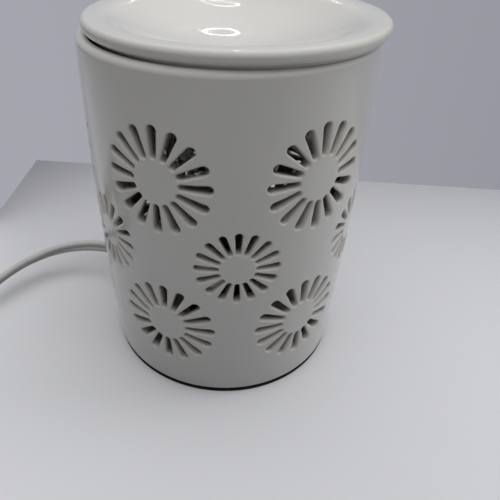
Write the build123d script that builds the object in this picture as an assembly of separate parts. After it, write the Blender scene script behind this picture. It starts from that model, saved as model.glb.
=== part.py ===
"""A ceramic wax melt warmer: a slotted shell over a lamp, a lift-off wax dish, a cord switch and a plug.

Sizes are in millimetres. The origin is on the shell's axis at the surface it stands on, +Z is up, and the
side that is seen first faces -Y. The cord leaves low at the left rear.
"""

from build123d import *
import math
import os

# Ceramic shell
PAD_T = 1.0
PLATE_T = 1.2
BODY_H = 145.8
BODY_TOP_R = 57.9
BODY_TAPER = 2.4
BODY_BULGE = 1.4
WALL = 4.2
BODY_RIM_ROUND = 2.4
BODY_INNER_ROUND = 0.8
BODY_FOOT_ROUND = 1.0
FLOOR_T = 3.6
FLOOR_RISE = 2.0
FLOOR_HOLE_R = 20.0
FLOOR_CORNER_ROUND = 1.5
FOOT_RING_W = 16.0
OVERRUN = 2.0

# Flowers cut through the shell
PATTERN_TURN = 5.06
FLOWERS_ROUND = 6
PETALS = 16
ROW_MIDDLE_Z = 74.0
ROW_DROP = 34.4
ROW_RISE = 34.0
ROW_R = {"low": 20.9, "middle": 16.6, "high": 20.9}
PETAL_START_SHARE = 0.43
PETAL_TIP_W_SHARE = 0.165
PETAL_ROOT_W_SHARE = 0.105
PETAL_CORNER_SHARE = 0.3

# Wax dish
DISH_OVERHANG = 0.1
DISH_RIM_T = 4.6
DISH_SEAT_H = 1.2
DISH_SEAT_W = 4.6
DISH_SEAT_SLOPE = 0.8
DISH_TOP_ROUND = 2.0
DISH_LOW_ROUND = 1.8
DISH_SHIFT = (2.64, 0.18)
DISH_CLEAR = 0.25
DISH_RING_H = 5.0
DISH_RIM_W = 5.6
BOWL_CURVE_R = 84.0
BOWL_LIP_R = 26.0
BOWL_WALL = 3.8
BOWL_FOOT_R = 15.0
UNDER_MID_R_SHARE = 0.62
UNDER_MID_Z_SHARE = 0.4
BOWL_STEPS = 5
LIP_STEPS = 3
UNDER_STEPS = 3

# Base pad, base plate and clamp
PLATE_INSET = 1.5
PAD_INSET = 2.0
PLATE_CONE_W = 2.0
PLATE_CLEAR = 0.5
SCREW_R = 2.0
SCREW_CLEAR = 0.2
SCREW_HEAD_R = 3.6
SCREW_HEAD_H = 1.9
SCREW_SLOT_W = 0.8
SCREW_SLOT_D = 0.9
SCREW_X = 18.0
SCREW_TAIL = 1.2
NUT_FLATS = 7.0
NUT_H = 3.2
THREAD_CLEAR = 0.05

# Lamp bracket
STRAP_T = 1.5
STRAP_W = 16.0
STRAP_HALF = 30.0
STRAP_END_ROUND = 4.0
HAT_HALF = 12.5
HAT_H = 12.2
BEND_ROUND = 2.5
NIPPLE_R = 4.9
NIPPLE_BORE_R = 3.6
NIPPLE_BELOW = 4.5
NIPPLE_ABOVE = 7.0
NIPPLE_NUT_FLATS = 14.0
NIPPLE_NUT_H = 3.0

# Lamp holder and its contacts
HOLDER_NECK_R = 15.0
HOLDER_NECK_H = 11.0
HOLDER_R = 19.0
HOLDER_H = 38.0
HOLDER_FLARE_H = 4.0
HOLDER_ROUND = 1.2
HOLDER_FLOOR_Z = 14.0
SHELL_T = 0.5
SHELL_H = 22.0
SHELL_FLANGE_R = 7.0
SHELL_SEAT_CLEAR = 0.05
CONTACT_R = 4.0
CONTACT_H = 2.5
TERMINAL_R = 1.5
TERMINAL_HEAD_R = 3.2
TERMINAL_HEAD_H = 1.4
TERMINAL_DEPTH = 3.5
TERMINAL_Z = 6.0
TERMINAL_GAP = 3.4

# Lamp
CAP_R = 13.0
CAP_CLEAR = 0.08
CAP_H = 20.5
CAP_NECK_DEPTH = 5.0
CAP_TIP_R = 4.5
CAP_TIP_H = 1.5
CAP_CONE_H = 3.5
CAP_CONE_TOP_R = 11.0
GLASS_R = 24.0
GLASS_NECK_R = 12.0
GLASS_NECK_H = 8.8
GLASS_WALL = 0.8
GLASS_SHOULDER_DEG = 35.0
GLASS_CENTRE_H = 36.0
GLASS_CURVE_R_SHARE = 0.38
GLASS_CURVE_Z_SHARE = 0.56
GLASS_NECK_STEPS = 2
GLASS_BALL_STEPS = 6
GLASS_CLEAR = 0.1
STEM_FOOT_R = 9.0
STEM_R = 3.0
STEM_TOP_R = 2.0
STEM_FOOT_H = 5.0
STEM_H = 24.0
SUPPORT_R = 0.35
SUPPORT_SPREAD = 9.0
FILAMENT_R = 0.3
FILAMENT_RISE = 12.0
FILAMENT_SAG = 3.0

# Cord: a flat two-core lead that stands on its edge
CORD_W = 7.0
CORD_T = 3.5
CORD_Z = 15.5
GLAND_BARREL_R = 4.8
GLAND_HOLE_CLEAR = 0.2
GLAND_FLANGE_R = 6.5
GLAND_FLANGE_T = 1.6
GLAND_LIP_R = 6.0
GLAND_LIP_T = 2.0
GLAND_SEAT_GAP = 0.45
GLAND_SLEEVE_R = 4.7
GLAND_TIP_R = 4.1
GLAND_SLEEVE_L = 10.4
GLAND_INNER_L = 10.2
GLAND_RIBS = 3
GLAND_RIB_W = 0.8
GLAND_RIB_D = 0.5

# The cord's free route: a straight run out of the gland, then corners given as how far they are past the
# gland's end in x and y and how high they are
CORD_RUN_OUT = 8.4
CORD_ROUTE = [
    (-18.5, 5.2, 15.4),
    (-29.4, 3.9, 15.2),
    (-39.7, 0.0, 14.8),
    (-48.7, -6.3, 14.0),
    (-56.3, -14.2, 13.2),
    (-63.2, -24.0, 12.0),
    (-69.0, -33.3, 10.2),
    (-76.6, -41.2, 8.5),
]
SWITCH_HEADING = 214.0
EASE_SHARE = 0.3

# Leads inside the shell
LEAD_R = 1.3
INNER_CORD_L = 4.0
LEAD_BEND_SHARE = 0.45
LEAD_SIDES = 8
# A lead's corners, as shares of its way across, of its way in and of its rise
LEAD_ROUTE_SHARES = [(0, 1, 0), (0, 0.87, 0), (0.55, 0.68, 0.2), (1.05, 0.42, 0.65), (1, 0.2, 1)]

# Cord switch
SWITCH_L = 34.0
SWITCH_W = 21.0
SWITCH_H = 17.0
SWITCH_ROUND = 3.0
SWITCH_NUB_L = 5.0
SWITCH_NUB_R = 5.2
SWITCH_NUB_TIP_R = 4.4
SWITCH_ENTRY_RUN = 11.0
WHEEL_R = 9.0
WHEEL_T = 5.0
WHEEL_PROUD = 2.5
WHEEL_CLEAR = 0.4
WHEEL_SIDE_CLEAR = 0.2
WHEEL_NOTCHES = 16
WHEEL_NOTCH_W = 1.0
WHEEL_NOTCH_D = 0.6
AXLE_R = 1.6
AXLE_CLEAR = 0.06
AXLE_H = 3.0
SWITCH_SCREW_R = 1.2
SWITCH_SCREW_HEAD_R = 2.4
SWITCH_SCREW_HEAD_H = 1.6
SWITCH_SCREW_SINK = 2.0
SWITCH_SCREW_UP = 4.0
SWITCH_SCREW_X = 12.0
SWITCH_SCREW_Y = 6.0

# Coil of the cord that is put away
COIL_R = 44.0
COIL_GAP = 0.65
COIL_LAYER_GAP = 0.65
COIL_HALF_TURNS = 5
COIL_LEAD = 7.0
COIL_TAIL_DEG = 25.0
COIL_APPROACH = 18.0
GAP_STEP = 2.0

# Plug
PLUG_RUN = 8.0
PLUG_L = 26.0
PLUG_W = 24.0
PLUG_T = 15.0
PLUG_ROUND = 3.5
PLUG_SLEEVE_L = 14.0
PLUG_SLEEVE_R = 6.5
PLUG_SLEEVE_TIP_R = 4.3
BLADE_W = 6.35
BLADE_T = 1.5
BLADE_L = 16.0
BLADE_DEPTH = 6.0
BLADE_SPACING = 12.7

# Worked out from the sizes above
BODY_BASE_R = BODY_TOP_R - BODY_TAPER
DISH_R = BODY_TOP_R + DISH_OVERHANG
BOWL_R = DISH_R - DISH_RIM_W
BOWL_LEAN = math.asin(BOWL_R / (BOWL_CURVE_R + BOWL_LIP_R))
BASE_Z = PAD_T + PLATE_T
TOP_Z = BASE_Z + BODY_H
FLOOR_LOW_Z = BASE_Z + FLOOR_RISE
FLOOR_Z = FLOOR_LOW_Z + FLOOR_T
FRONT_DEG = PATTERN_TURN - 90
CORD_DEG = FRONT_DEG - 2 * 360 / FLOWERS_ROUND
LAMP_TURN = CORD_DEG - 90
HAT_Z = FLOOR_Z + HAT_H
HOLDER_TOP_Z = HAT_Z + HOLDER_H
HOLDER_BORE_Z = HAT_Z + HOLDER_FLOOR_Z
TIP_Z = HOLDER_BORE_Z + CONTACT_H
CAP_LOW_Z = TIP_Z + CAP_TIP_H + CAP_CONE_H
CAP_TOP_Z = CAP_LOW_Z + CAP_H
GLASS_LOW_Z = CAP_TOP_Z - CAP_NECK_DEPTH
ROW_Z = {"low": ROW_MIDDLE_Z - ROW_DROP, "middle": ROW_MIDDLE_Z, "high": ROW_MIDDLE_Z + ROW_RISE}
SCREW_SHELL_R = CAP_R + CAP_CLEAR + SHELL_T


def body_radius(z):
    """The shell's outer radius at a height."""
    t = (z - BASE_Z) / BODY_H
    return BODY_BASE_R + (BODY_TOP_R - BODY_BASE_R) * t + BODY_BULGE * 4 * t * (1 - t)


GLAND_REACH = body_radius(CORD_Z) + GLAND_SLEEVE_L
GLAND_INNER_REACH = body_radius(CORD_Z) - GLAND_INNER_L
LEAD_SPLIT_R = GLAND_INNER_REACH - INNER_CORD_L


def rounded(face, corners):
    """A flat face with each named corner rounded."""
    for place, radius in corners:
        corner = min(face.vertices(), key=lambda v: (v.center() - Vector(*place)).length)
        face = fillet(corner, radius)
    return face


def turned(points):
    """A solid of revolution about Z, from a closed outline drawn as (radius, height)."""
    return revolve(Plane.XZ * make_face(Polyline(*points, close=True)), Axis.Z)


def stepped(start, middle, end, steps):
    """The points after an arc's start, evenly along it, so that the turned surface has few facets."""
    arc = ThreePointArc(start, middle, end)
    return [tuple(arc @ (n / steps))[:2] for n in range(1, steps + 1)]


def eased_corner(before, corner, after, radius, steps=2):
    """A square-cut or slanted corner of an outline, rounded by a few short runs."""
    a = (Vector(*before) - Vector(*corner)).normalized()
    b = (Vector(*after) - Vector(*corner)).normalized()
    half = math.radians(a.get_angle(b)) / 2
    reach = radius / math.tan(half)
    start = Vector(*corner) + a * reach
    end = Vector(*corner) + b * reach
    middle = Vector(*corner) + (a + b).normalized() * (radius / math.sin(half) - radius)
    return [tuple(start)[:2], *stepped(tuple(start)[:2], tuple(middle)[:2], tuple(end)[:2], steps)]


def rod(radius, low, high):
    """A round bar along Z."""
    return Pos(0, 0, low) * Cylinder(radius, high - low, align=(Align.CENTER, Align.CENTER, Align.MIN))


def tapered(low_r, high_r, length):
    """A tapered bar that starts at the origin and runs along +Z."""
    return Cone(low_r, high_r, length, align=(Align.CENTER, Align.CENTER, Align.MIN))


def hexagon(flats, low, high):
    """A hexagonal bar along Z."""
    shape = RegularPolygon(flats / 2, 6, major_radius=False)
    return extrude(Pos(0, 0, low) * shape, high - low)


def across(part, reach, height, degrees):
    """A part drawn along +Z, laid flat so that +Z points outward at an angle and a distance from the axis."""
    return Rot(0, 0, degrees) * Pos(reach, 0, height) * Rot(0, 90, 0) * part


def save(name, *solids):
    """Writes one node."""
    shape = solids[0] if len(solids) == 1 else Compound(children=list(solids))
    shape.label = name
    export_step(shape, f"parts/{name}.step")
    return shape


def flower_slots(plane, radius, depth):
    """The petals of one flower, as prisms behind a plane."""
    start = radius * PETAL_START_SHARE
    tip = radius * PETAL_TIP_W_SHARE
    root = radius * PETAL_ROOT_W_SHARE
    shoulder = radius - tip * PETAL_CORNER_SHARE
    outline = [(start, -root / 2), (shoulder, -tip / 2), (radius, 0), (shoulder, tip / 2), (start, root / 2)]
    petal = make_face(Polyline(*outline, close=True))
    slots = []
    for number in range(PETALS):
        face = plane * Rot(0, 0, 360 * number / PETALS) * petal
        slots.append(extrude(face, -depth))
    return slots


def ceramic_body():
    """The glazed shell: a slightly bulged tube with an inner floor, rows of flowers and a cord hole."""
    middle_z = BASE_Z + BODY_H / 2
    foot_r = BODY_BASE_R - FOOT_RING_W
    inner_low = (body_radius(FLOOR_Z) - WALL, FLOOR_Z)
    inner_middle = (body_radius(middle_z) - WALL, middle_z)
    inner_top = (BODY_TOP_R - WALL, TOP_Z)
    outer_low = (BODY_BASE_R, BASE_Z)
    outer_middle = (body_radius(middle_z), middle_z)
    outer_top = (BODY_TOP_R, TOP_Z)
    shell = turned(
        [
            (FLOOR_HOLE_R, FLOOR_Z),
            (FLOOR_HOLE_R, FLOOR_LOW_Z),
            (foot_r, FLOOR_LOW_Z),
            (foot_r, BASE_Z),
            *eased_corner((foot_r, BASE_Z), outer_low, outer_middle, BODY_FOOT_ROUND, 1),
            outer_middle,
            *eased_corner(outer_middle, outer_top, inner_top, BODY_RIM_ROUND),
            *eased_corner(outer_top, inner_top, inner_middle, BODY_INNER_ROUND, 1),
            inner_middle,
            *eased_corner(inner_middle, inner_low, (FLOOR_HOLE_R, FLOOR_Z), FLOOR_CORNER_ROUND, 1),
        ]
    )
    slots = []
    for row, z in ROW_Z.items():
        radius = ROW_R[row]
        start = body_radius(z) + OVERRUN
        back = math.sqrt((body_radius(z) - WALL) ** 2 - radius**2) - OVERRUN
        shift = 0 if row == "middle" else 0.5
        for number in range(FLOWERS_ROUND):
            out = heading(FRONT_DEG + (number + shift) * 360 / FLOWERS_ROUND)
            plane = Plane(out * start + Vector(0, 0, z), x_dir=(0, 0, 1), z_dir=out)
            slots += flower_slots(plane, radius, start - back)
    hole = across(rod(GLAND_BARREL_R + GLAND_HOLE_CLEAR, 0, 2 * OVERRUN + WALL), 0, CORD_Z, CORD_DEG)
    hole = Pos(*(cord_out() * (body_radius(CORD_Z) - WALL - OVERRUN))) * hole
    return shell - (slots + [hole])


def heading(degrees):
    """A level unit vector."""
    angle = math.radians(degrees)
    return Vector(math.cos(angle), math.sin(angle), 0)


def cord_out():
    """The level direction in which the cord leaves the shell."""
    return heading(CORD_DEG)


def wax_dish():
    """The lift-off dish: a flat rim that rolls over into a shallow bowl, with a ring below that locates it."""
    rim_low_z = TOP_Z + DISH_SEAT_H
    rim_z = rim_low_z + DISH_RIM_T
    ring_r = BODY_TOP_R - WALL - math.hypot(*DISH_SHIFT) - DISH_CLEAR
    seat_r = ring_r + DISH_SEAT_W
    seat_edge = (seat_r + DISH_SEAT_SLOPE, rim_low_z)
    bowl_z = rim_z - (BOWL_CURVE_R + BOWL_LIP_R) * (1 - math.cos(BOWL_LEAN))
    bowl = [
        (BOWL_CURVE_R * math.sin(lean), bowl_z + BOWL_CURVE_R * (1 - math.cos(lean)))
        for lean in (BOWL_LEAN / 2, BOWL_LEAN)
    ]
    lip = (BOWL_R - BOWL_LIP_R * math.sin(BOWL_LEAN / 2), rim_z - BOWL_LIP_R * (1 - math.cos(BOWL_LEAN / 2)))
    under_z = bowl_z - BOWL_WALL
    ring_low = (ring_r, TOP_Z - DISH_RING_H)
    under = (
        BOWL_FOOT_R + (ring_r - BOWL_FOOT_R) * UNDER_MID_R_SHARE,
        under_z + (ring_low[1] - under_z) * UNDER_MID_Z_SHARE,
    )
    dish = turned(
        [
            (0, bowl_z),
            *stepped((0, bowl_z), *bowl, BOWL_STEPS),
            *stepped(bowl[-1], lip, (BOWL_R, rim_z), LIP_STEPS),
            *eased_corner((BOWL_R, rim_z), (DISH_R, rim_z), (DISH_R, rim_low_z), DISH_TOP_ROUND),
            *eased_corner((DISH_R, rim_z), (DISH_R, rim_low_z), seat_edge, DISH_LOW_ROUND),
            seat_edge,
            (seat_r, TOP_Z),
            (ring_r, TOP_Z),
            ring_low,
            *stepped(ring_low, under, (BOWL_FOOT_R, under_z), UNDER_STEPS),
            (0, under_z),
        ]
    )
    return Pos(*DISH_SHIFT, 0) * dish


def base_plate():
    """The pressed steel plate under the shell, raised in the middle where the bracket's screws clamp it."""
    edge_r = BODY_BASE_R - PLATE_INSET
    cone_r = BODY_BASE_R - FOOT_RING_W - PLATE_CLEAR
    raised_r = cone_r - PLATE_CONE_W
    outline = [
        (0, FLOOR_LOW_Z),
        (raised_r, FLOOR_LOW_Z),
        (cone_r, BASE_Z),
        (edge_r, BASE_Z),
        (edge_r, PAD_T),
        (cone_r - PLATE_T / 2, PAD_T),
        (raised_r - PLATE_T / 2, FLOOR_LOW_Z - PLATE_T),
        (0, FLOOR_LOW_Z - PLATE_T),
    ]
    plate = turned(outline)
    holes = [spot * rod(SCREW_R + SCREW_CLEAR, 0, FLOOR_Z) for spot in screw_spots()]
    return plate - holes


def base_pad():
    """The rubber pad that covers the plate from below and stands on the table."""
    return rod(BODY_BASE_R - PAD_INSET, 0, PAD_T)


def screw_spots():
    """Where the two clamp screws stand."""
    return [Rot(0, 0, LAMP_TURN) * Pos(side * SCREW_X, 0, 0) for side in (-1, 1)]


def clamp_screws():
    """The screws that draw the bracket and the plate together on the shell's floor."""
    head_z = FLOOR_LOW_Z - PLATE_T
    head = rod(SCREW_HEAD_R, head_z - SCREW_HEAD_H, head_z)
    slot = Pos(0, 0, head_z - SCREW_HEAD_H) * Box(3 * SCREW_HEAD_R, SCREW_SLOT_W, 2 * SCREW_SLOT_D)
    shaft = rod(SCREW_R, head_z, FLOOR_Z + STRAP_T + NUT_H + SCREW_TAIL)
    return [spot * (head + shaft - slot) for spot in screw_spots()]


def clamp_nuts():
    """The nuts on top of the bracket's feet."""
    low = FLOOR_Z + STRAP_T
    high = low + NUT_H
    nut = hexagon(NUT_FLATS, low, high) - rod(SCREW_R + THREAD_CLEAR, low - OVERRUN, high + OVERRUN)
    return [spot * nut for spot in screw_spots()]


def lamp_bracket():
    """The bent strap that carries the lamp holder."""
    inner = HAT_HALF - STRAP_T
    foot_z = FLOOR_Z + STRAP_T
    half = [(STRAP_HALF, FLOOR_Z), (STRAP_HALF, foot_z), (HAT_HALF, foot_z), (HAT_HALF, HAT_Z)]
    low = [(inner, HAT_Z - STRAP_T), (inner, FLOOR_Z)]
    mirror = [(-x, z) for x, z in reversed(half)]
    mirror_low = [(-x, z) for x, z in reversed(low)]
    face = make_face(Polyline(*half, *mirror, *mirror_low, *low, close=True))
    corners = []
    for side in (-1, 1):
        corners += [
            ((side * HAT_HALF, HAT_Z), BEND_ROUND),
            ((side * inner, HAT_Z - STRAP_T), BEND_ROUND - STRAP_T),
            ((side * HAT_HALF, foot_z), BEND_ROUND - STRAP_T),
            ((side * inner, FLOOR_Z), BEND_ROUND),
        ]
    strap = extrude(Plane.XZ * rounded(face, corners), STRAP_W / 2, both=True)
    ends = [e for e in strap.edges().filter_by(Axis.Z) if abs(abs(e.center().X) - STRAP_HALF) < STRAP_T]
    strap = fillet(ends, STRAP_END_ROUND)
    holes = [Pos(side * SCREW_X, 0, 0) * rod(SCREW_R + SCREW_CLEAR, 0, HAT_Z) for side in (-1, 1)]
    holes.append(rod(NIPPLE_R + THREAD_CLEAR, FLOOR_Z, HAT_Z + OVERRUN))
    return Rot(0, 0, LAMP_TURN) * (strap - holes)


def nipple():
    """The hollow threaded tube that fixes the holder to the bracket."""
    low = HAT_Z - STRAP_T - NIPPLE_BELOW
    high = HAT_Z + NIPPLE_ABOVE
    return rod(NIPPLE_R, low, high) - rod(NIPPLE_BORE_R, low - OVERRUN, high + OVERRUN)


def nipple_nut():
    """The nut below the bracket's web."""
    high = HAT_Z - STRAP_T
    low = high - NIPPLE_NUT_H
    nut = hexagon(NIPPLE_NUT_FLATS, low, high) - rod(NIPPLE_R + THREAD_CLEAR, low - OVERRUN, high + OVERRUN)
    return Rot(0, 0, LAMP_TURN) * nut


def lamp_holder():
    """The moulded holder: a neck with the terminals, and a cup for the screw shell."""
    neck_z = HAT_Z + HOLDER_NECK_H
    flare_z = neck_z + HOLDER_FLARE_H
    bore_r = SCREW_SHELL_R + SHELL_SEAT_CLEAR
    rim = (HOLDER_R, HOLDER_TOP_Z)
    holder = turned(
        [
            (NIPPLE_R + THREAD_CLEAR, HAT_Z),
            (HOLDER_NECK_R, HAT_Z),
            (HOLDER_NECK_R, neck_z),
            (HOLDER_R, flare_z),
            *eased_corner((HOLDER_R, flare_z), rim, (bore_r, HOLDER_TOP_Z), HOLDER_ROUND, 1),
            (bore_r, HOLDER_TOP_Z),
            (bore_r, HOLDER_BORE_Z),
            (0, HOLDER_BORE_Z),
            (0, HAT_Z + NIPPLE_ABOVE),
            (NIPPLE_R + THREAD_CLEAR, HAT_Z + NIPPLE_ABOVE),
        ]
    )
    return holder - [terminal(side, 0) for side in (-1, 1)]


def terminal(side, head):
    """One terminal screw, with or without its head."""
    start = HOLDER_NECK_R - TERMINAL_DEPTH
    end = HOLDER_NECK_R + TERMINAL_GAP
    screw = rod(TERMINAL_R, 0, end - start)
    if head:
        screw += rod(TERMINAL_HEAD_R, end - start, end - start + TERMINAL_HEAD_H)
    turn = LAMP_TURN if side > 0 else LAMP_TURN + 180
    return across(screw, start, HAT_Z + TERMINAL_Z, turn)


def screw_shell():
    """The brass shell that the lamp's cap turns in, with the thread left plain."""
    outer = SCREW_SHELL_R
    inner = outer - SHELL_T
    low = HOLDER_BORE_Z
    outline = [
        (SHELL_FLANGE_R, low),
        (outer, low),
        (outer, low + SHELL_H),
        (inner, low + SHELL_H),
        (inner, low + SHELL_T),
        (SHELL_FLANGE_R, low + SHELL_T),
    ]
    return turned(outline)


def centre_contact():
    """The contact stud in the holder's floor."""
    return rod(CONTACT_R, HOLDER_BORE_Z, TIP_Z)


def bulb_contact():
    """The lamp's tip."""
    return rod(CAP_TIP_R, TIP_Z, TIP_Z + CAP_TIP_H)


def bulb_insulator():
    """The black glass cone between the tip and the cap."""
    low = TIP_Z + CAP_TIP_H
    outline = [(0, low), (CAP_TIP_R, low), (CAP_CONE_TOP_R, CAP_LOW_Z), (0, CAP_LOW_Z)]
    return turned(outline)


def bulb_cap():
    """The lamp's screw cap, plain outside, with a pocket for the glass neck."""
    cap = rod(CAP_R, CAP_LOW_Z, CAP_TOP_Z)
    return cap - rod(GLASS_NECK_R + GLASS_CLEAR, GLASS_LOW_Z, CAP_TOP_Z + OVERRUN)


def glass_form(inset, start):
    """The lamp's pear shape, drawn in by a wall."""
    neck = GLASS_NECK_R - inset
    ball = GLASS_R - inset
    centre_z = CAP_TOP_Z + GLASS_CENTRE_H - CAP_NECK_DEPTH
    neck_z = GLASS_LOW_Z + GLASS_NECK_H
    angle = math.radians(GLASS_SHOULDER_DEG)
    shoulder = (ball * math.cos(angle), centre_z - ball * math.sin(angle))
    curve = (
        neck + (shoulder[0] - neck) * GLASS_CURVE_R_SHARE,
        neck_z + (shoulder[1] - neck_z) * GLASS_CURVE_Z_SHARE,
    )
    top = (0, centre_z + ball)
    side_turn = math.radians(90 - GLASS_SHOULDER_DEG) / 2
    side = (ball * math.cos(side_turn), centre_z + ball * math.sin(side_turn))
    return turned(
        [
            (0, start),
            (neck, start),
            (neck, neck_z),
            *stepped((neck, neck_z), curve, shoulder, GLASS_NECK_STEPS),
            *stepped(shoulder, side, top, GLASS_BALL_STEPS),
        ]
    )


def bulb_glass():
    """The clear glass, open at its neck."""
    return glass_form(0, GLASS_LOW_Z) - glass_form(GLASS_WALL, GLASS_LOW_Z - OVERRUN)


def bulb_stem():
    """The glass stem that carries the wires."""
    low = GLASS_LOW_Z
    outline = [
        (0, low),
        (STEM_FOOT_R, low),
        (STEM_R, low + STEM_FOOT_H),
        (STEM_TOP_R, low + STEM_H),
        (0, low + STEM_H),
    ]
    return turned(outline)


def wire(points, radius):
    """A thin bare wire with a square section."""
    path = Polyline(*points)
    start = Plane(path @ 0, z_dir=path % 0)
    return sweep(start * Rectangle(2 * radius, 2 * radius), path, transition=Transition.RIGHT)


def filament_supports():
    """The two wires that stand on the stem."""
    top = GLASS_LOW_Z + STEM_H
    spread = SUPPORT_SPREAD
    wires = []
    for side in (-1, 1):
        foot = (side * STEM_TOP_R / 2, 0, top - SUPPORT_R)
        tip = (side * spread, 0, top + FILAMENT_RISE)
        wires.append(wire([foot, tip], SUPPORT_R) - bulb_stem())
    return wires


def bulb_filament():
    """The filament between the wires, sagging to a point."""
    top = GLASS_LOW_Z + STEM_H + FILAMENT_RISE
    inner = SUPPORT_SPREAD - 2 * SUPPORT_R
    return wire([(-inner, 0, top), (0, 0, top - FILAMENT_SAG), (inner, 0, top)], FILAMENT_R)


def cord_section():
    """The flat cord's outline, with its wide side along Y."""
    return Rectangle(CORD_T, CORD_W)


def tube_radii(points, share=LEAD_BEND_SHARE):
    """The largest radius that the two runs at each corner leave room for."""
    radii = []
    for before, here, after in zip(points, points[1:], points[2:]):
        a = Vector(*here) - Vector(*before)
        b = Vector(*after) - Vector(*here)
        radii.append(share * min(a.length, b.length) / math.tan(math.radians(a.get_angle(b)) / 2))
    return radii


def upright(path):
    """The plane across a path's start, with its Y axis as near to upright as it can be."""
    along = path % 0
    return Plane(path @ 0, x_dir=Vector(-along.Y, along.X, 0), z_dir=along)


def flat_cord(name, points):
    """A stretch of flat cord that stands on its edge, along straight runs joined by arcs."""
    radii = tube_radii(points)
    path = FilletPolyline(*points, radius=radii) if radii else Line(*points)
    solid = sweep(upright(path) * cord_section(), path)
    print(name, "radii", [round(r, 1) for r in radii], "length", round(path.length, 1))
    print(name, "volume / (section x length)", round(solid.volume / (cord_section().area * path.length), 4))
    return solid


def eased(start, end):
    """The corners of a run from one level stretch down to another."""
    step = Vector(end.X - start.X, end.Y - start.Y, 0) * EASE_SHARE
    return [tuple(start), tuple(start + step), tuple(end - step), tuple(end)]


def round_lead(name, points):
    """A round insulated lead along straight runs joined by arcs."""
    radii = tube_radii(points)
    path = FilletPolyline(*points, radius=radii)
    solid = sweep(Plane(path @ 0, z_dir=path % 0) * RegularPolygon(LEAD_R, LEAD_SIDES), path)
    print(name, "radii", [round(r, 1) for r in radii], "length", round(path.length, 1))
    return solid


def cord_gland():
    """The moulded strain relief: a lip inside the wall, a flange outside and a ribbed sleeve on the cord."""
    wall_out = body_radius(CORD_Z + GLAND_FLANGE_R)
    inner_r = body_radius(CORD_Z - GLAND_LIP_R) - WALL
    lip_out = math.sqrt(inner_r**2 - GLAND_LIP_R**2) - GLAND_SEAT_GAP
    lip_in = lip_out - GLAND_LIP_T
    flange_in = wall_out + THREAD_CLEAR
    flange_out = flange_in + GLAND_FLANGE_T
    outline = [
        (0, GLAND_INNER_REACH),
        (GLAND_TIP_R, GLAND_INNER_REACH),
        (GLAND_BARREL_R, lip_in),
        (GLAND_LIP_R, lip_in),
        (GLAND_LIP_R, lip_out),
        (GLAND_BARREL_R, lip_out),
        (GLAND_BARREL_R, flange_in),
        (GLAND_FLANGE_R, flange_in),
        (GLAND_FLANGE_R, flange_out),
        (GLAND_SLEEVE_R, flange_out),
        (GLAND_TIP_R, GLAND_REACH),
        (0, GLAND_REACH),
    ]
    gland = turned(outline)
    step = (GLAND_REACH - flange_out) / (GLAND_RIBS + 1)
    for number in range(GLAND_RIBS):
        middle = flange_out + step * (number + 1)
        outer = rod(GLAND_FLANGE_R, middle - GLAND_RIB_W / 2, middle + GLAND_RIB_W / 2)
        gland -= outer - rod(GLAND_TIP_R - GLAND_RIB_D, middle - GLAND_RIB_W, middle + GLAND_RIB_W)
    return across(gland, 0, CORD_Z, CORD_DEG)


def inner_cord():
    """The stretch of cord inside the shell, up to where its cores part."""
    out = cord_out()
    start = out * GLAND_INNER_REACH + Vector(0, 0, CORD_Z)
    end = out * LEAD_SPLIT_R + Vector(0, 0, CORD_Z)
    return flat_cord("inner_cord", [tuple(start), tuple(end)])


def lead(side):
    """One insulated core, from the cord to its terminal."""
    end_x = HOLDER_NECK_R + LEAD_R + (TERMINAL_GAP - 2 * LEAD_R) / 2
    end_y = TERMINAL_R + LEAD_R / 4
    end_z = HAT_Z + TERMINAL_Z
    start_z = CORD_Z + side * CORD_T / 2
    rise = end_z - start_z
    points = []
    for across_share, out_share, rise_share in LEAD_ROUTE_SHARES:
        points.append((end_x * across_share, LEAD_SPLIT_R * out_share, start_z + rise * rise_share))
    points.append((end_x, end_y, end_z))
    inward, level = heading(CORD_DEG), heading(LAMP_TURN) * side
    return round_lead("lead", [tuple(level * x + inward * y + Vector(0, 0, z)) for x, y, z in points])


GLAND_END = cord_out() * GLAND_REACH + Vector(0, 0, CORD_Z)
ROUTE = [Vector(GLAND_END.X + x, GLAND_END.Y + y, z) for x, y, z in CORD_ROUTE]
SWITCH_DIR = heading(SWITCH_HEADING)
SWITCH_Z = SWITCH_H / 2
SWITCH_START = Vector(ROUTE[-1].X, ROUTE[-1].Y, SWITCH_Z) + SWITCH_DIR * SWITCH_ENTRY_RUN
SWITCH_ALL = SWITCH_L + 2 * SWITCH_NUB_L
SWITCH_END = SWITCH_START + SWITCH_DIR * SWITCH_ALL


def in_switch(part):
    """A switch part, drawn along +X about the housing's middle, put in its place."""
    middle = SWITCH_START + SWITCH_DIR * (SWITCH_ALL / 2)
    return Pos(*middle) * Rot(0, 0, SWITCH_HEADING) * part


def eased_block(length, width, height, ease):
    """A moulded block with its corners and its edges cut back."""
    block = extrude(chamfer(Rectangle(length, width).vertices(), ease), height / 2, both=True)
    return chamfer(block.faces().filter_by(Axis.Z).edges(), ease / 2)


def switch_housing():
    """The two halves of the housing, before the wheel's pocket is shared out."""
    block = eased_block(SWITCH_L, SWITCH_W, SWITCH_H, SWITCH_ROUND)
    for side in (-1, 1):
        nub = tapered(SWITCH_NUB_R, SWITCH_NUB_TIP_R, SWITCH_NUB_L)
        block += Pos(side * SWITCH_L / 2, 0, 0) * Rot(0, side * 90, 0) * nub
    reach = WHEEL_T / 2 + WHEEL_SIDE_CLEAR
    pocket = rod(WHEEL_R + WHEEL_CLEAR, -reach, reach)
    axle = rod(AXLE_R + AXLE_CLEAR, -reach - AXLE_H, reach + AXLE_H)
    return block - [wheel_spot() * pocket, wheel_spot() * axle] - switch_screw_forms()


def wheel_spot():
    """The wheel's axis in the housing."""
    return Pos(0, SWITCH_W / 2 + WHEEL_PROUD - WHEEL_R, 0)


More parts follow.
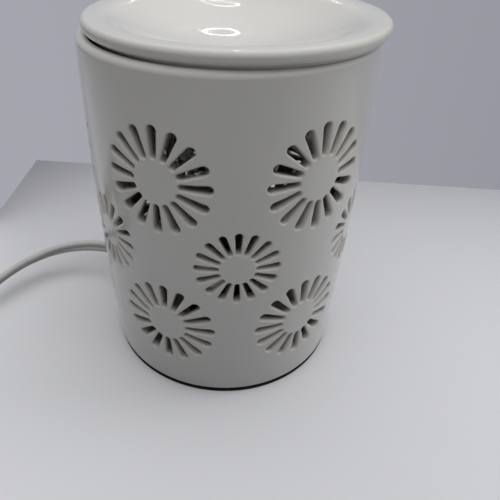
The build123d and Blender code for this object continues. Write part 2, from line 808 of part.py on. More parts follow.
def switch_screw_forms():
    """The housing's screws, from below."""
    seat = -SWITCH_H / 2 + SWITCH_SCREW_SINK + SWITCH_SCREW_HEAD_H
    well = rod(SWITCH_SCREW_HEAD_R, -SWITCH_H / 2 - OVERRUN, seat)
    shaft = rod(SWITCH_SCREW_R, seat, SWITCH_SCREW_UP)
    spots = [Pos(side * SWITCH_SCREW_X, -SWITCH_SCREW_Y, 0) for side in (-1, 1)]
    return [spot * (well + shaft) for spot in spots]


def switch_screws():
    """The two screws."""
    seat = -SWITCH_H / 2 + SWITCH_SCREW_SINK + SWITCH_SCREW_HEAD_H
    head = rod(SWITCH_SCREW_HEAD_R, seat - SWITCH_SCREW_HEAD_H, seat)
    screw = head + rod(SWITCH_SCREW_R, seat, SWITCH_SCREW_UP)
    return [in_switch(Pos(side * SWITCH_SCREW_X, -SWITCH_SCREW_Y, 0) * screw) for side in (-1, 1)]


def switch_half(upper):
    """The cover or the base of the switch."""
    side = Align.MIN if upper else Align.MAX
    keep = Box(2 * SWITCH_ALL, 2 * SWITCH_W, SWITCH_H, align=(Align.CENTER, Align.CENTER, side))
    return in_switch(switch_housing() & keep)


def switch_wheel():
    """The thumb wheel, with notches round its edge and a stub axle each side."""
    wheel = rod(WHEEL_R, -WHEEL_T / 2, WHEEL_T / 2) + rod(AXLE_R, -WHEEL_T / 2 - AXLE_H, WHEEL_T / 2 + AXLE_H)
    notch = Pos(WHEEL_R, 0, 0) * Box(2 * WHEEL_NOTCH_D, WHEEL_NOTCH_W, WHEEL_T + OVERRUN)
    notches = [Rot(0, 0, 360 * n / WHEEL_NOTCHES) * notch for n in range(WHEEL_NOTCHES)]
    return in_switch(wheel_spot() * (wheel - notches))


class Track:
    """A level path of arcs that all turn right, with climbs, drawn from a start point and a heading."""

    def __init__(self, start, degrees):
        self.here = Vector(*start)
        self.degrees = degrees
        self.edges = []

    def run(self, length):
        """Straight on."""
        end = self.here + heading(self.degrees) * length
        self.edges.append(Edge.make_line(self.here, end))
        self.here = end

    def turn(self, radius, degrees):
        """A level arc to the right."""
        centre = self.here + heading(self.degrees - 90) * radius
        middle = centre + heading(self.degrees + 90 - degrees / 2) * radius
        end = centre + heading(self.degrees + 90 - degrees) * radius
        self.edges.append(Edge.make_three_point_arc(self.here, middle, end))
        self.here = end
        self.degrees -= degrees

    def climb(self, radius, rise):
        """A half turn to the right that climbs, as two arcs whose common tangent points straight along it."""
        centre = self.here + heading(self.degrees - 90) * radius
        reach = math.hypot(radius, rise / 2)
        middle = centre + heading(self.degrees) * reach + Vector(0, 0, rise / 2)
        end = centre + heading(self.degrees - 90) * radius + Vector(0, 0, rise)
        self.edges.append(Edge.make_tangent_arc(self.here, heading(self.degrees), middle))
        self.edges.append(Edge.make_tangent_arc(middle, self.edges[-1] % 1, end))
        self.here = end
        self.degrees -= 180


def coil_track():
    """The coil's path: turns that spiral in, climb a layer, and spiral out again."""
    pitch = CORD_T + COIL_GAP
    layer = CORD_W + COIL_LAYER_GAP
    start = SWITCH_END + SWITCH_DIR * COIL_APPROACH
    track = Track((start.X, start.Y, CORD_W / 2), SWITCH_HEADING)
    track.run(COIL_LEAD)
    radii = [COIL_R - n * pitch / 2 for n in range(COIL_HALF_TURNS)]
    for radius in radii:
        track.turn(radius, 180)
    track.climb(radii[-1] - pitch / 2, layer)
    for radius in reversed(radii):
        track.turn(radius, 180)
    track.turn(COIL_R + pitch / 2, COIL_TAIL_DEG)
    track.run(COIL_LEAD)
    return track


def least_gap(path):
    """The least gap between turns, measured on points along the middle."""
    count = int(path.length / GAP_STEP)
    points = [path @ (n / count) for n in range(count + 1)]
    apart = int(COIL_R / GAP_STEP)
    least = math.inf
    for n, a in enumerate(points):
        for b in points[n + apart:]:
            level = max(math.hypot(a.X - b.X, a.Y - b.Y) - CORD_T, 0)
            upright = max(abs(a.Z - b.Z) - CORD_W, 0)
            least = min(least, math.hypot(level, upright))
    return least


def cord_coil(track):
    """The wound cord, as one unbroken flat tube."""
    path = Wire(track.edges)
    solid = sweep(upright(path) * cord_section(), path)
    print("cord_coil length", round(path.length, 1), "least gap", round(least_gap(path), 2))
    filled = solid.volume / (cord_section().area * path.length)
    print("cord_coil volume / (section x length)", round(filled, 4))
    return solid


def plug_frame(track):
    """Where the plug's sleeve starts, and which way it points."""
    out = heading(track.degrees)
    start = Vector(track.here.X, track.here.Y, PLUG_T / 2) + out * 2 * PLUG_RUN
    return Pos(*start) * Rot(0, 0, track.degrees)


def plug_body():
    """The moulded plug, drawn along +X from its sleeve's tip."""
    block = eased_block(PLUG_L, PLUG_W, PLUG_T, PLUG_ROUND)
    sleeve = tapered(PLUG_SLEEVE_TIP_R, PLUG_SLEEVE_R, PLUG_SLEEVE_L)
    body = Pos(PLUG_SLEEVE_L + PLUG_L / 2, 0, 0) * block + Rot(0, 90, 0) * sleeve
    return body - plug_blades()


def plug_blades():
    """The two flat blades."""
    length = BLADE_L + BLADE_DEPTH
    middle = PLUG_SLEEVE_L + PLUG_L - BLADE_DEPTH + length / 2
    blade = Box(length, BLADE_T, BLADE_W)
    return [Pos(middle, side * BLADE_SPACING / 2, 0) * blade for side in (-1, 1)]


def main():
    os.makedirs("parts", exist_ok=True)
    save("ceramic_body", ceramic_body())
    save("wax_dish", wax_dish())
    save("base_plate", base_plate())
    save("base_pad", base_pad())
    save("clamp_screws", *clamp_screws())
    save("clamp_nuts", *clamp_nuts())
    save("lamp_bracket", lamp_bracket())
    save("holder_nipple", nipple())
    save("nipple_nut", nipple_nut())
    save("lamp_holder", lamp_holder())
    save("terminal_screws", terminal(-1, 1), terminal(1, 1))
    save("screw_shell", screw_shell())
    save("centre_contact", centre_contact())
    save("bulb_contact", bulb_contact())
    save("bulb_insulator", bulb_insulator())
    save("bulb_cap", bulb_cap())
    save("bulb_glass", bulb_glass())
    save("bulb_stem", bulb_stem())
    save("filament_supports", *filament_supports())
    save("bulb_filament", bulb_filament())
    save("cord_gland", cord_gland())
    save("inner_cord", inner_cord())
    save("lead_upper", lead(1))
    save("lead_lower", lead(-1))

    run_out = GLAND_END + cord_out() * CORD_RUN_OUT
    corners = [GLAND_END, run_out, *ROUTE, SWITCH_START]
    save("cord_tube", flat_cord("cord_tube", [tuple(corner) for corner in corners]))
    save("switch_cover", switch_half(True))
    save("switch_base", switch_half(False))
    save("switch_screws", *switch_screws())
    save("switch_wheel", switch_wheel())

    track = coil_track()
    coil_start = Wire(track.edges) @ 0
    save("cord_link", flat_cord("cord_link", eased(SWITCH_END, coil_start)))
    save("cord_coil", cord_coil(track))
    frame = plug_frame(track)
    save("cord_tail", flat_cord("cord_tail", eased(track.here, frame.position)))
    save("plug_body", frame * plug_body())
    save("plug_blades", *[frame * blade for blade in plug_blades()])


main()
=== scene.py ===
"""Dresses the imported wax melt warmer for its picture: glazed shell and dish, lamp, cord and stage.

Sizes and places are in millimetres, as in the part's source, and become metres when a mesh is made.
"""

import math

import bpy
import numpy as np
from mathutils import Matrix, Vector
from mathutils.geometry import delaunay_2d_cdt


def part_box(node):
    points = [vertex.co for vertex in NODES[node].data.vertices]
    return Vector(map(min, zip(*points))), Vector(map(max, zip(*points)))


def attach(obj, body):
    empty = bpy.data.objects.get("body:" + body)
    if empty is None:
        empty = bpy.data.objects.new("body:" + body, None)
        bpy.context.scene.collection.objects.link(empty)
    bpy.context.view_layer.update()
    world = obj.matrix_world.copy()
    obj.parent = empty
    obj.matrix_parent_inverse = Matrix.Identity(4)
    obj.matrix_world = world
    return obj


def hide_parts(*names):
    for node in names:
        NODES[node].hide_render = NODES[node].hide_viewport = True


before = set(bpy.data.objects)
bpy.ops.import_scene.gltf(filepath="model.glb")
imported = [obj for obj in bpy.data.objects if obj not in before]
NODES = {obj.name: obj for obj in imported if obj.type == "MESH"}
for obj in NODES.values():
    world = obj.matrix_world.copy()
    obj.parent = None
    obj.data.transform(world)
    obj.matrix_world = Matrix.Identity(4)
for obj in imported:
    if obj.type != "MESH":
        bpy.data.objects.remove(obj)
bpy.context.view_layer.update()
MM = 0.001


def heading(degrees):
    """A level unit vector."""
    angle = math.radians(degrees)
    return Vector((math.cos(angle), math.sin(angle), 0))


def smoothed(share):
    """A share from 0 to 1 that starts and ends gently."""
    return 3 * share ** 2 - 2 * share ** 3


def add_object(name, data):
    """A new object in the scene."""
    thing = bpy.data.objects.new(name, data)
    bpy.context.scene.collection.objects.link(thing)
    return thing


# Camera: focal length and centre in the photograph's pixels, directions in the frame

PHOTO_PX = 500
FOCAL_PX = 494.3
CENTRE_PX = (222.7, 218.3)
SENSOR_W = 36.0
CAMERA_NEAR = 10.0
CAMERA_PLACE = (0, -199.5, 192.4)
CAMERA_RIGHT = (0.9998074, 0.01465411, 0.01305447)
CAMERA_DOWN = (0.01900437, -0.55688266, -0.83037373)
CAMERA_AHEAD = (-0.00489858, 0.83046189, -0.5570539)


def make_camera():
    """The photograph's view: from in front and above, close to the object."""
    data = bpy.data.cameras.new("camera")
    data.sensor_width = SENSOR_W
    data.lens = FOCAL_PX / PHOTO_PX * SENSOR_W
    data.shift_x = (PHOTO_PX / 2 - CENTRE_PX[0]) / PHOTO_PX
    data.shift_y = (CENTRE_PX[1] - PHOTO_PX / 2) / PHOTO_PX
    data.clip_start = CAMERA_NEAR * MM
    axes = Matrix((Vector(CAMERA_RIGHT), -Vector(CAMERA_DOWN), -Vector(CAMERA_AHEAD))).transposed()
    camera = add_object("camera", data)
    camera.matrix_world = Matrix.Translation(Vector(CAMERA_PLACE) * MM) @ axes.to_4x4()
    bpy.context.scene.camera = camera


# Cord: a flat two-core lead that stands on its edge, with the source's route

CORD_W = 7.0
CORD_T = 3.5
CORD_Z = 15.5
CORD_DEG = 155.06
CORD_SMOOTH_STEPS = 8
GLAND_REACH = 66.59
CORD_RUN_OUT = 8.4
CORD_ROUTE = [
    (-18.5, 5.2, 15.4),
    (-29.4, 3.9, 15.2),
    (-39.7, 0.0, 14.8),
    (-48.7, -6.3, 14.0),
    (-56.3, -14.2, 13.2),
    (-63.2, -24.0, 12.0),
    (-69.0, -33.3, 10.2),
    (-76.6, -41.2, 8.5),
]
CORD_TWIST = ((4, -10), (5, -22), (6, -32), (7, -35), (8, -30), (9, -15))
LOBE_STEPS = 14
LOBE_DEG = 304.0
SWITCH_HEADING = 214.0
SWITCH_ENTRY_RUN = 11.0
SWITCH_ALL = 44.0
COIL_APPROACH = 18.0
COIL_R = 44.0
COIL_GAP = 0.65
COIL_PITCH = CORD_T + COIL_GAP
COIL_LAYER = CORD_W + COIL_GAP
COIL_LEAD = 7.0
COIL_EASE = 1.0
COIL_TURNS_IN = 2.5
COIL_CLIMB_TURNS = 0.5
COIL_WAIT_TURNS = 0.25
COIL_TAIL_DEG = 25.0
COIL_POINTS = 14
COIL_POINT_LAG_SHARE = 0.2
CORD_OUT = heading(CORD_DEG)
SWITCH_DIR = heading(SWITCH_HEADING)
GLAND_END = CORD_OUT * GLAND_REACH + Vector((0, 0, CORD_Z))
ROUTE = [Vector((GLAND_END.x + x, GLAND_END.y + y, z)) for x, y, z in CORD_ROUTE]
SWITCH_START = ROUTE[-1] + SWITCH_DIR * SWITCH_ENTRY_RUN
SWITCH_END = SWITCH_START + SWITCH_DIR * SWITCH_ALL
COIL_START = Vector((SWITCH_END.x, SWITCH_END.y, CORD_W / 2)) + SWITCH_DIR * COIL_APPROACH


def coil_points():
    """Control points of the coil: turns to the right that close in, climb a layer and open out again.

    The curve runs a little inside the circle of its points, so the points lie that much outside the coil.
    """
    first = COIL_START + SWITCH_DIR * COIL_LEAD
    centre = first + heading(SWITCH_HEADING - 90) * COIL_R
    climb_end = COIL_TURNS_IN + COIL_CLIMB_TURNS
    inmost = COIL_TURNS_IN - COIL_WAIT_TURNS
    turns = climb_end + COIL_TURNS_IN + COIL_TAIL_DEG / 360
    outside = 4 / (3 + math.cos(2 * math.pi / COIL_POINTS))
    points = [COIL_START, first - SWITCH_DIR * COIL_EASE]
    for step in range(1, int(turns * COIL_POINTS) + 1):
        turn = (step - COIL_POINT_LAG_SHARE) / COIL_POINTS
        climbed = min(max((turn - COIL_TURNS_IN) / COIL_CLIMB_TURNS, 0), 1)
        if turn < COIL_TURNS_IN:
            inward = turn - COIL_WAIT_TURNS
        elif turn < climb_end:
            inward = inmost + COIL_CLIMB_TURNS * climbed * (1 - climbed)
        else:
            inward = inmost + climb_end - turn
        radius = (COIL_R - COIL_PITCH * inward) * outside
        around = heading(SWITCH_HEADING + 90 - 360 * turn)
        points.append(centre + around * radius + Vector((0, 0, COIL_LAYER * smoothed(climbed))))
    return points


def cord_profile():
    """The flat cord's outline: two round lobes with a groove between them on each wide side."""
    curve = bpy.data.curves.new("cord_profile", "CURVE")
    curve.dimensions = "2D"
    spline = curve.splines.new("POLY")
    radius = CORD_T / 2
    points = []
    for side in (1, -1):
        for step in range(LOBE_STEPS + 1):
            angle = math.radians(90 * (side - 1) + (90 - LOBE_DEG / 2) + step * LOBE_DEG / LOBE_STEPS)
            y = side * (CORD_W / 2 - radius) + radius * math.sin(angle)
            points.append((radius * math.cos(angle), y))
    spline.points.add(len(points) - 1)
    for point, (x, y) in zip(spline.points, points):
        point.co = (x * MM, y * MM, 0, 1)
    spline.use_cyclic_u = True
    profile = add_object("cord_profile", curve)
    profile.hide_render = True
    return profile


def make_cord(material):
    """The whole cord, from the gland through the switch and round the coil to the plug."""
    low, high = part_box("cord_tail")
    tail = Vector((low + high) / 2 / MM)
    run_out = CORD_OUT * CORD_RUN_OUT
    in_switch = SWITCH_DIR * SWITCH_ALL / 3
    approach = SWITCH_DIR * COIL_APPROACH / 4
    route = [GLAND_END, GLAND_END + run_out / 2, GLAND_END + run_out, *ROUTE]
    route += [SWITCH_START, SWITCH_START + in_switch, SWITCH_END - in_switch, SWITCH_END]
    route += [SWITCH_END + approach, COIL_START - approach, *coil_points(), tail]
    curve = bpy.data.curves.new("cord", "CURVE")
    curve.dimensions = "3D"
    spline = curve.splines.new("NURBS")
    spline.points.add(len(route) - 1)
    for point, place in zip(spline.points, route):
        point.co = (*(place * MM), 1)
    for number, turn in CORD_TWIST:
        spline.points[number].tilt = math.radians(turn)
    spline.order_u = 3
    spline.use_endpoint_u = True
    spline.resolution_u = CORD_SMOOTH_STEPS
    curve.twist_mode = "Z_UP"
    curve.bevel_mode = "OBJECT"
    curve.bevel_object = cord_profile()
    curve.use_fill_caps = True
    curve.materials.append(material)
    cord = add_object("cord", curve)
    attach(cord, "warmer")
    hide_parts("cord_tube", "cord_link", "cord_coil", "cord_tail")
    return cord


# Mesh helpers

ROUND_STEPS = 144
CORNER_STEPS = 5
SMALL_CORNER_STEPS = 3
LARGE_CORNER_STEPS = 8
SHARP_DEG = 40.0


def add_mesh(name, verts, faces, material, sharp=SHARP_DEG):
    """A smooth-shaded mesh object from millimetre points, with edges over an angle kept sharp."""
    mesh = bpy.data.meshes.new(name)
    mesh.from_pydata([Vector(v) * MM for v in verts], [], faces)
    mesh.materials.append(material)
    mesh.update()
    mesh.shade_smooth()
    mesh.set_sharp_from_angle(angle=math.radians(sharp))
    return add_object(name, mesh)


def strip(first, second):
    """Four-sided faces between two closed rings of as many vertices."""
    faces = []
    for k in range(len(first)):
        n = (k + 1) % len(first)
        faces.append((first[k], first[n], second[n], second[k]))
    return faces


def arc(start, middle, end, steps):
    """The points after an arc's start, evenly along the circle through three flat points."""
    (ax, ay), (bx, by), (cx, cy) = start, middle, end
    d = 2 * (ax * (by - cy) + bx * (cy - ay) + cx * (ay - by))
    a2, b2, c2 = ax * ax + ay * ay, bx * bx + by * by, cx * cx + cy * cy
    x = (a2 * (by - cy) + b2 * (cy - ay) + c2 * (ay - by)) / d
    y = (a2 * (cx - bx) + b2 * (ax - cx) + c2 * (bx - ax)) / d
    radius = math.hypot(ax - x, ay - y)
    begin = math.atan2(ay - y, ax - x)
    half = (math.atan2(by - y, bx - x) - begin + math.pi) % (2 * math.pi) - math.pi
    rest = (math.atan2(cy - y, cx - x) - begin - half + math.pi) % (2 * math.pi) - math.pi
    turns = [begin + (half + rest) * n / steps for n in range(1, steps + 1)]
    return [(x + radius * math.cos(t), y + radius * math.sin(t)) for t in turns]


def eased(before, corner, after, radius, steps=CORNER_STEPS):
    """A corner of an outline, rounded."""
    a = (Vector(before) - Vector(corner)).normalized()
    b = (Vector(after) - Vector(corner)).normalized()
    half = a.angle(b) / 2
    start = Vector(corner) + a * radius / math.tan(half)
    end = Vector(corner) + b * radius / math.tan(half)
    middle = Vector(corner) + (a + b).normalized() * (radius / math.sin(half) - radius)
    return [tuple(start), *arc(start, middle, end, steps)]


def lathe(name, outline, material, steps=ROUND_STEPS):
    """A mesh turned about Z from an outline of (radius, height), drawn anticlockwise and open on the axis."""
    closed = outline[0][0] > 0 or outline[-1][0] > 0
    verts = []
    rings = []
    for radius, z in outline:
        first = len(verts)
        if radius > 0:
            turns = [2 * math.pi * k / steps for k in range(steps)]
            verts += [(radius * math.cos(t), radius * math.sin(t), z) for t in turns]
            rings.append(list(range(first, first + steps)))
        else:
            verts.append((0, 0, z))
            rings.append([first] * steps)
    pairs = list(zip(rings, rings[1:]))
    if closed:
        pairs.append((rings[-1], rings[0]))
    faces = []
    for low, high in pairs:
        for face in strip(low, high):
            corners = tuple(dict.fromkeys(face))
            if len(corners) > 2:
                faces.append(corners)
    return add_mesh(name, verts, faces, material)


def set_thin(thing, values):
    """Stores how thin the glaze runs at each vertex, for its material."""
    attribute = thing.data.attributes.new("thin", "FLOAT", "POINT")
    attribute.data.foreach_set("value", np.asarray(values, np.float32))


def near_edges(points, edges, reach):
    """How near points are to turned edges given as (radius, height): 1 on one, 0 from a reach away."""
    radius = np.hypot(points[:, 0], points[:, 1])
    nearest = np.full(len(points), reach)
    for edge_r, edge_z in edges:
        nearest = np.minimum(nearest, np.hypot(radius - edge_r, points[:, 2] - edge_z))
    return 1 - nearest / reach


def place_mesh(thing, matrix):
    """Moves a mesh's points, so that its object stays at the origin."""
    thing.data.transform(matrix)
    thing.data.update()


# Ceramic shell: each row of flowers is (height, flower radius, share of a step that it is turned by)

BODY_TOP_R = 57.9
BODY_TAPER = 2.4
BODY_BASE_R = BODY_TOP_R - BODY_TAPER
BODY_BULGE = 1.4
BASE_Z = 2.2
BODY_H = 145.8
TOP_Z = BASE_Z + BODY_H
WALL = 4.2
RIM_ROUND = 2.4
RIM_STEPS = 7
INNER_ROUND = 0.8
INNER_STEPS = 4
FOOT_ROUND = 1.0
FOOT_RING_W = 16.0
FOOT_INNER_R = BODY_BASE_R - FOOT_RING_W
FLOOR_RAISE = 2.0
FLOOR_T = 3.6
FLOOR_LOW_Z = BASE_Z + FLOOR_RAISE
FLOOR_Z = FLOOR_LOW_Z + FLOOR_T
FLOOR_HOLE_R = 20.0
FLOOR_EDGE_ROUND = 0.6
FLOOR_CORNER_ROUND = 1.5
FRONT_DEG = -84.94
FLOWERS_ROUND = 6
ROWS = ((39.6, 20.9, 0.5), (74.0, 16.6, 0.0), (108.0, 20.9, 0.5))
PETALS = 16
PETAL_START_SHARE = 0.43
PETAL_TIP_SHARE = 0.165
PETAL_ROOT_SHARE = 0.105
PETAL_TIP_POINTS = 9
PETAL_ROOT_POINTS = 6
PETAL_SIDE_STEPS = 5
PATCH_MARGIN = 2.0
PATCH_STEPS = 72
PATCH_RIM_GAP = 0.25
POINT_GAP = 0.12
OFFSET_SLACK = 0.01
CENTRE_RING_SHARES = ((0.62, 16), (0.32, 8))
CENTRE_RING_TURN = 0.1
JOIN_GAP = 1e-7
EDGE_ROUND = 0.9
EDGE_OFFSETS = (0.1, 0.27, 0.52, 0.9)
THIN_REACH = 2.0
THIN_EDGE_REACH = 3.0
THIN_EDGE_INSET = 0.5
SHELL_SHARP_DEG = 50.0
BAND_LOW = FLOOR_Z + FLOOR_CORNER_ROUND
BAND_TOP_GAP = 4.0
BAND_HIGH = TOP_Z - BAND_TOP_GAP
GRID_STEP = 4.0
GRID_KEEP_OFF = 3.2
CORD_HOLE_R = 5.0
CORD_PATCH_R = 6.0


def body_radius(z):
    """The shell's outer radius at a height."""
    t = (z - BASE_Z) / BODY_H
    return BODY_BASE_R + (BODY_TOP_R - BODY_BASE_R) * t + BODY_BULGE * 4 * t * (1 - t)


def body_slope(z):
    """How fast that radius grows with height."""
    t = (z - BASE_Z) / BODY_H
    return (BODY_TOP_R - BODY_BASE_R + BODY_BULGE * 4 * (1 - 2 * t)) / BODY_H


def petal_circles(radius):
    """The two circles whose hull is one petal along +X: (place, radius) at the tip and at the root."""
    tip = radius * PETAL_TIP_SHARE / 2
    root = radius * PETAL_ROOT_SHARE / 2
    return (radius - tip, tip), (radius * PETAL_START_SHARE + root, root)


def petal_loop(radius, offset):
    """A petal's outline along +X, grown by an offset, anticlockwise."""
    (x1, r1), (x2, r2) = petal_circles(radius)
    half = math.pi / 2 + math.asin((r1 - r2) / (x1 - x2))
    tip_turns = np.linspace(-half, half, PETAL_TIP_POINTS)[:, None]
    root_turns = np.linspace(half, 2 * math.pi - half, PETAL_ROOT_POINTS)[:, None]
    tip = (x1, 0) + (r1 + offset) * np.hstack([np.cos(tip_turns), np.sin(tip_turns)])
    root = (x2, 0) + (r2 + offset) * np.hstack([np.cos(root_turns), np.sin(root_turns)])
    shares = np.arange(1, PETAL_SIDE_STEPS)[:, None] / PETAL_SIDE_STEPS
    upper = tip[-1] * (1 - shares) + root[0] * shares
    lower = root[-1] * (1 - shares) + tip[0] * shares
    return np.concatenate([tip, upper, root, lower])


def petal_distance(points, radius):
    """Each point's distance to the nearest petal of a flower, negative inside it."""
    (x1, r1), (x2, r2) = petal_circles(radius)
    span = x1 - x2
    lean = (r1 - r2) / span
    cosine = math.sqrt(1 - lean * lean)
    turn = 2 * math.pi / PETALS
    nearest = np.round(np.arctan2(points[:, 1], points[:, 0]) / turn)
    best = np.full(len(points), np.inf)
    for step in (-1, 0, 1):
        angle = -(nearest + step) * turn
        x = points[:, 0] * np.cos(angle) - points[:, 1] * np.sin(angle) - x2
        y = np.abs(points[:, 0] * np.sin(angle) + points[:, 1] * np.cos(angle))
        along = cosine * x + lean * y
        side = cosine * y - lean * x - r2
        root = np.hypot(x, y) - r2
        tip = np.hypot(x - span, y) - r1
        distance = np.where(along < 0, root, np.where(along > span * cosine, tip, side))
        best = np.minimum(best, distance)
    return best


def spun(points, number, count):
    """Flat points turned by a share of a full turn."""
    angle = 2 * math.pi * number / count
    x, y = points[:, 0], points[:, 1]
    return np.stack([x * math.cos(angle) - y * math.sin(angle), x * math.sin(angle) + y * math.cos(angle)], 1)


def circle(radius, count, start=0.0):
    """Flat points round a circle."""
    angles = start + np.arange(count) * 2 * math.pi / count
    return np.stack([radius * np.cos(angles), radius * np.sin(angles)], 1)


def thinned(points, gap):
    """Points with those left out that lie too near an earlier one."""
    seen = set()
    kept = []
    for x, y in points.tolist():
        cell = (round(x / gap), round(y / gap))
        if cell not in seen:
            seen.add(cell)
            kept.append((x, y))
    return np.array(kept)


def triangulate(points, borders, holes):
    """A triangulation of flat points that keeps closed loops as edges and leaves the holes open."""
    edges = []
    owner = np.full(len(points), -1)
    for loop in borders + holes:
        edges += list(zip(loop, loop[1:] + loop[:1]))
    for number, loop in enumerate(holes):
        owner[loop] = number
    result = delaunay_2d_cdt([Vector(p) for p in points.tolist()], edges, [], 0, JOIN_GAP)
    if len(result[0]) != len(points):
        raise ValueError("the triangulation joined or added points")
    faces = np.array(result[2])
    owners = owner[faces]
    in_hole = (owners[:, 0] >= 0) & (owners[:, 0] == owners[:, 1]) & (owners[:, 1] == owners[:, 2])
    return faces[~in_hole]


def flower_patch(radius, offsets):
    """A flower in its own plane: points, triangles and the rings round its petals."""
    edge = radius + PATCH_MARGIN
    points = [circle(edge, PATCH_STEPS)]
    count = PATCH_STEPS
    rings = []
    for number in range(PETALS):
        ring = spun(petal_loop(radius, 0.0), number, PETALS)
        points.append(ring)
        rings.append(list(range(count, count + len(ring))))
        count += len(ring)
    extra = []
    for offset in offsets:
        for number in range(PETALS):
            loop = spun(petal_loop(radius, offset), number, PETALS)
            extra.append(loop[petal_distance(loop, radius) > offset - OFFSET_SLACK])
    for share, steps in CENTRE_RING_SHARES:
        extra.append(circle(radius * PETAL_START_SHARE * share, steps, CENTRE_RING_TURN))
    extra.append(np.zeros((1, 2)))
    extra = np.concatenate(extra)
    extra = thinned(extra[np.hypot(extra[:, 0], extra[:, 1]) < edge - PATCH_RIM_GAP], POINT_GAP)
    points = np.concatenate(points + [extra])
    return points, triangulate(points, [list(range(PATCH_STEPS))], rings), rings


def hole_patch(radius, edge):
    """A plain round hole in its own plane, as a flower's patch is given."""
    steps = PATCH_STEPS // 2
    points = np.concatenate([circle(edge, PATCH_STEPS), circle(radius, steps)])
    ring = list(range(PATCH_STEPS, PATCH_STEPS + steps))
    return points, triangulate(points, [list(range(PATCH_STEPS))], [ring]), [ring]


def flower_spots():
    """Every flower as (direction, height, radius)."""
    spots = []
    for z, size, shift in ROWS:
        spots += [(FRONT_DEG + (n + shift) * 360 / FLOWERS_ROUND, z, size) for n in range(FLOWERS_ROUND)]
    return spots


class Skin:
    """One side of the shell's wall, as spots (angle, height, depth below the surface, how near a petal)."""

    def __init__(self, inset, offsets):
        self.inset = inset
        self.spots = []
        self.faces = []
        self.rings = []
        self.count = 0
        rims = []
        patches = [(deg, z, *flower_patch(size, offsets), size) for deg, z, size in flower_spots()]
        patches.append((CORD_DEG, CORD_Z, *hole_patch(CORD_HOLE_R, CORD_PATCH_R), 0))
        for deg, z, points, faces, rings, size in patches:
            first = self.add(self.place(deg, z, points, size))
            self.faces.append(faces + first)
            self.rings += [[first + k for k in ring] for ring in rings]
            rims.append([first + k for k in range(PATCH_STEPS)])
        self.fill(rims)

    def add(self, spots):
        """Adds spots and gives the number of the first one."""
        first = self.count
        self.spots.append(spots)
        self.count += len(spots)
        return first

    def place(self, deg, z, points, size):
        """A patch's flat points, seen along its own middle direction, on the skin."""
        height = z + points[:, 1]
        turn = math.radians(deg) + np.arcsin(points[:, 0] / (body_radius(height) - self.inset))
        depth = np.zeros(len(points))
        thin = np.zeros(len(points))
        if size:
            near = np.clip(petal_distance(points, size), 0, THIN_REACH)
            thin = 1 - near / THIN_REACH
            if not self.inset:
                near = np.minimum(near, EDGE_ROUND)
                depth = EDGE_ROUND - np.sqrt(EDGE_ROUND ** 2 - (EDGE_ROUND - near) ** 2)
        return np.stack([turn, height, depth, thin], 1)

    def ring(self, z):
        """A level ring of spots."""
        turns = np.arange(ROUND_STEPS) * 2 * math.pi / ROUND_STEPS
        spots = np.zeros((ROUND_STEPS, 4))
        spots[:, 0] = turns
        spots[:, 1] = z
        first = self.add(spots)
        return list(range(first, first + ROUND_STEPS))

    def fill(self, rims):
        """The plain wall between the patches and between the two end rings."""
        self.low = self.ring(BAND_LOW)
        self.high = self.ring(BAND_HIGH)
        rows = int((BAND_HIGH - BAND_LOW) / GRID_STEP)
        columns = int(2 * math.pi * BODY_TOP_R / GRID_STEP)
        grid = []
        for row in range(1, rows):
            z = BAND_LOW + (BAND_HIGH - BAND_LOW) * row / rows
            turns = (np.arange(columns) + 0.5 * (row % 2)) * 2 * math.pi / columns
            grid += [(turn, z, 0.0, 0.0) for turn in turns]
        grid = np.array(grid)
        clear = np.ones(len(grid), bool)
        for deg, z, size in flower_spots() + [(CORD_DEG, CORD_Z, CORD_PATCH_R - PATCH_MARGIN)]:
            apart_x = np.sin(grid[:, 0] - math.radians(deg)) * body_radius(grid[:, 1])
            apart = np.hypot(apart_x, grid[:, 1] - z)
            facing = np.cos(grid[:, 0] - math.radians(deg)) > 0
            clear &= ~(facing & (apart < size + PATCH_MARGIN + GRID_KEEP_OFF))
        first = self.add(grid[clear])
        chosen = [k for rim in rims for k in rim] + self.low + self.high + list(range(first, self.count))
        index = {k: n for n, k in enumerate(chosen)}
        spots = np.concatenate(self.spots)[chosen]
        size = np.exp(spots[:, 1] / BODY_TOP_R)
        flat = np.stack([size * np.cos(spots[:, 0]), size * np.sin(spots[:, 0])], 1)
        holes = [[index[k] for k in rim] for rim in rims + [self.low]]
        faces = triangulate(flat, [[index[k] for k in self.high]], holes)
        self.faces.append(np.array(chosen)[faces])

    def built(self):
        """Points, outward normals where the surface is plain or else zeros, glaze thinness and triangles."""
        spots = np.concatenate(self.spots)
        turn, z, depth, thin = spots.T
        slope = body_slope(z)
        length = np.sqrt(1 + slope ** 2)
        out = np.stack([np.cos(turn) / length, np.sin(turn) / length, -slope / length], 1)
        radius = body_radius(z) - self.inset
        points = np.stack([radius * np.cos(turn), radius * np.sin(turn), z], 1) - out * depth[:, None]
        plain = depth <= 0
        plain[[k for ring in self.rings for k in ring]] = False
        return points, np.where(plain[:, None], out, 0.0), thin, np.concatenate(self.faces)


def facing(faces, points, outward):
    """Triangles turned so that they look away from the Z axis, or towards it."""
    a, b, c = points[faces[:, 0]], points[faces[:, 1]], points[faces[:, 2]]
    normal = np.cross(b - a, c - a)
    middle = (a + b + c) / 3
    away = normal[:, 0] * middle[:, 0] + normal[:, 1] * middle[:, 1] > 0
    turned = faces.copy()
    wrong = away != outward
    turned[wrong] = turned[wrong][:, ::-1]
    return turned


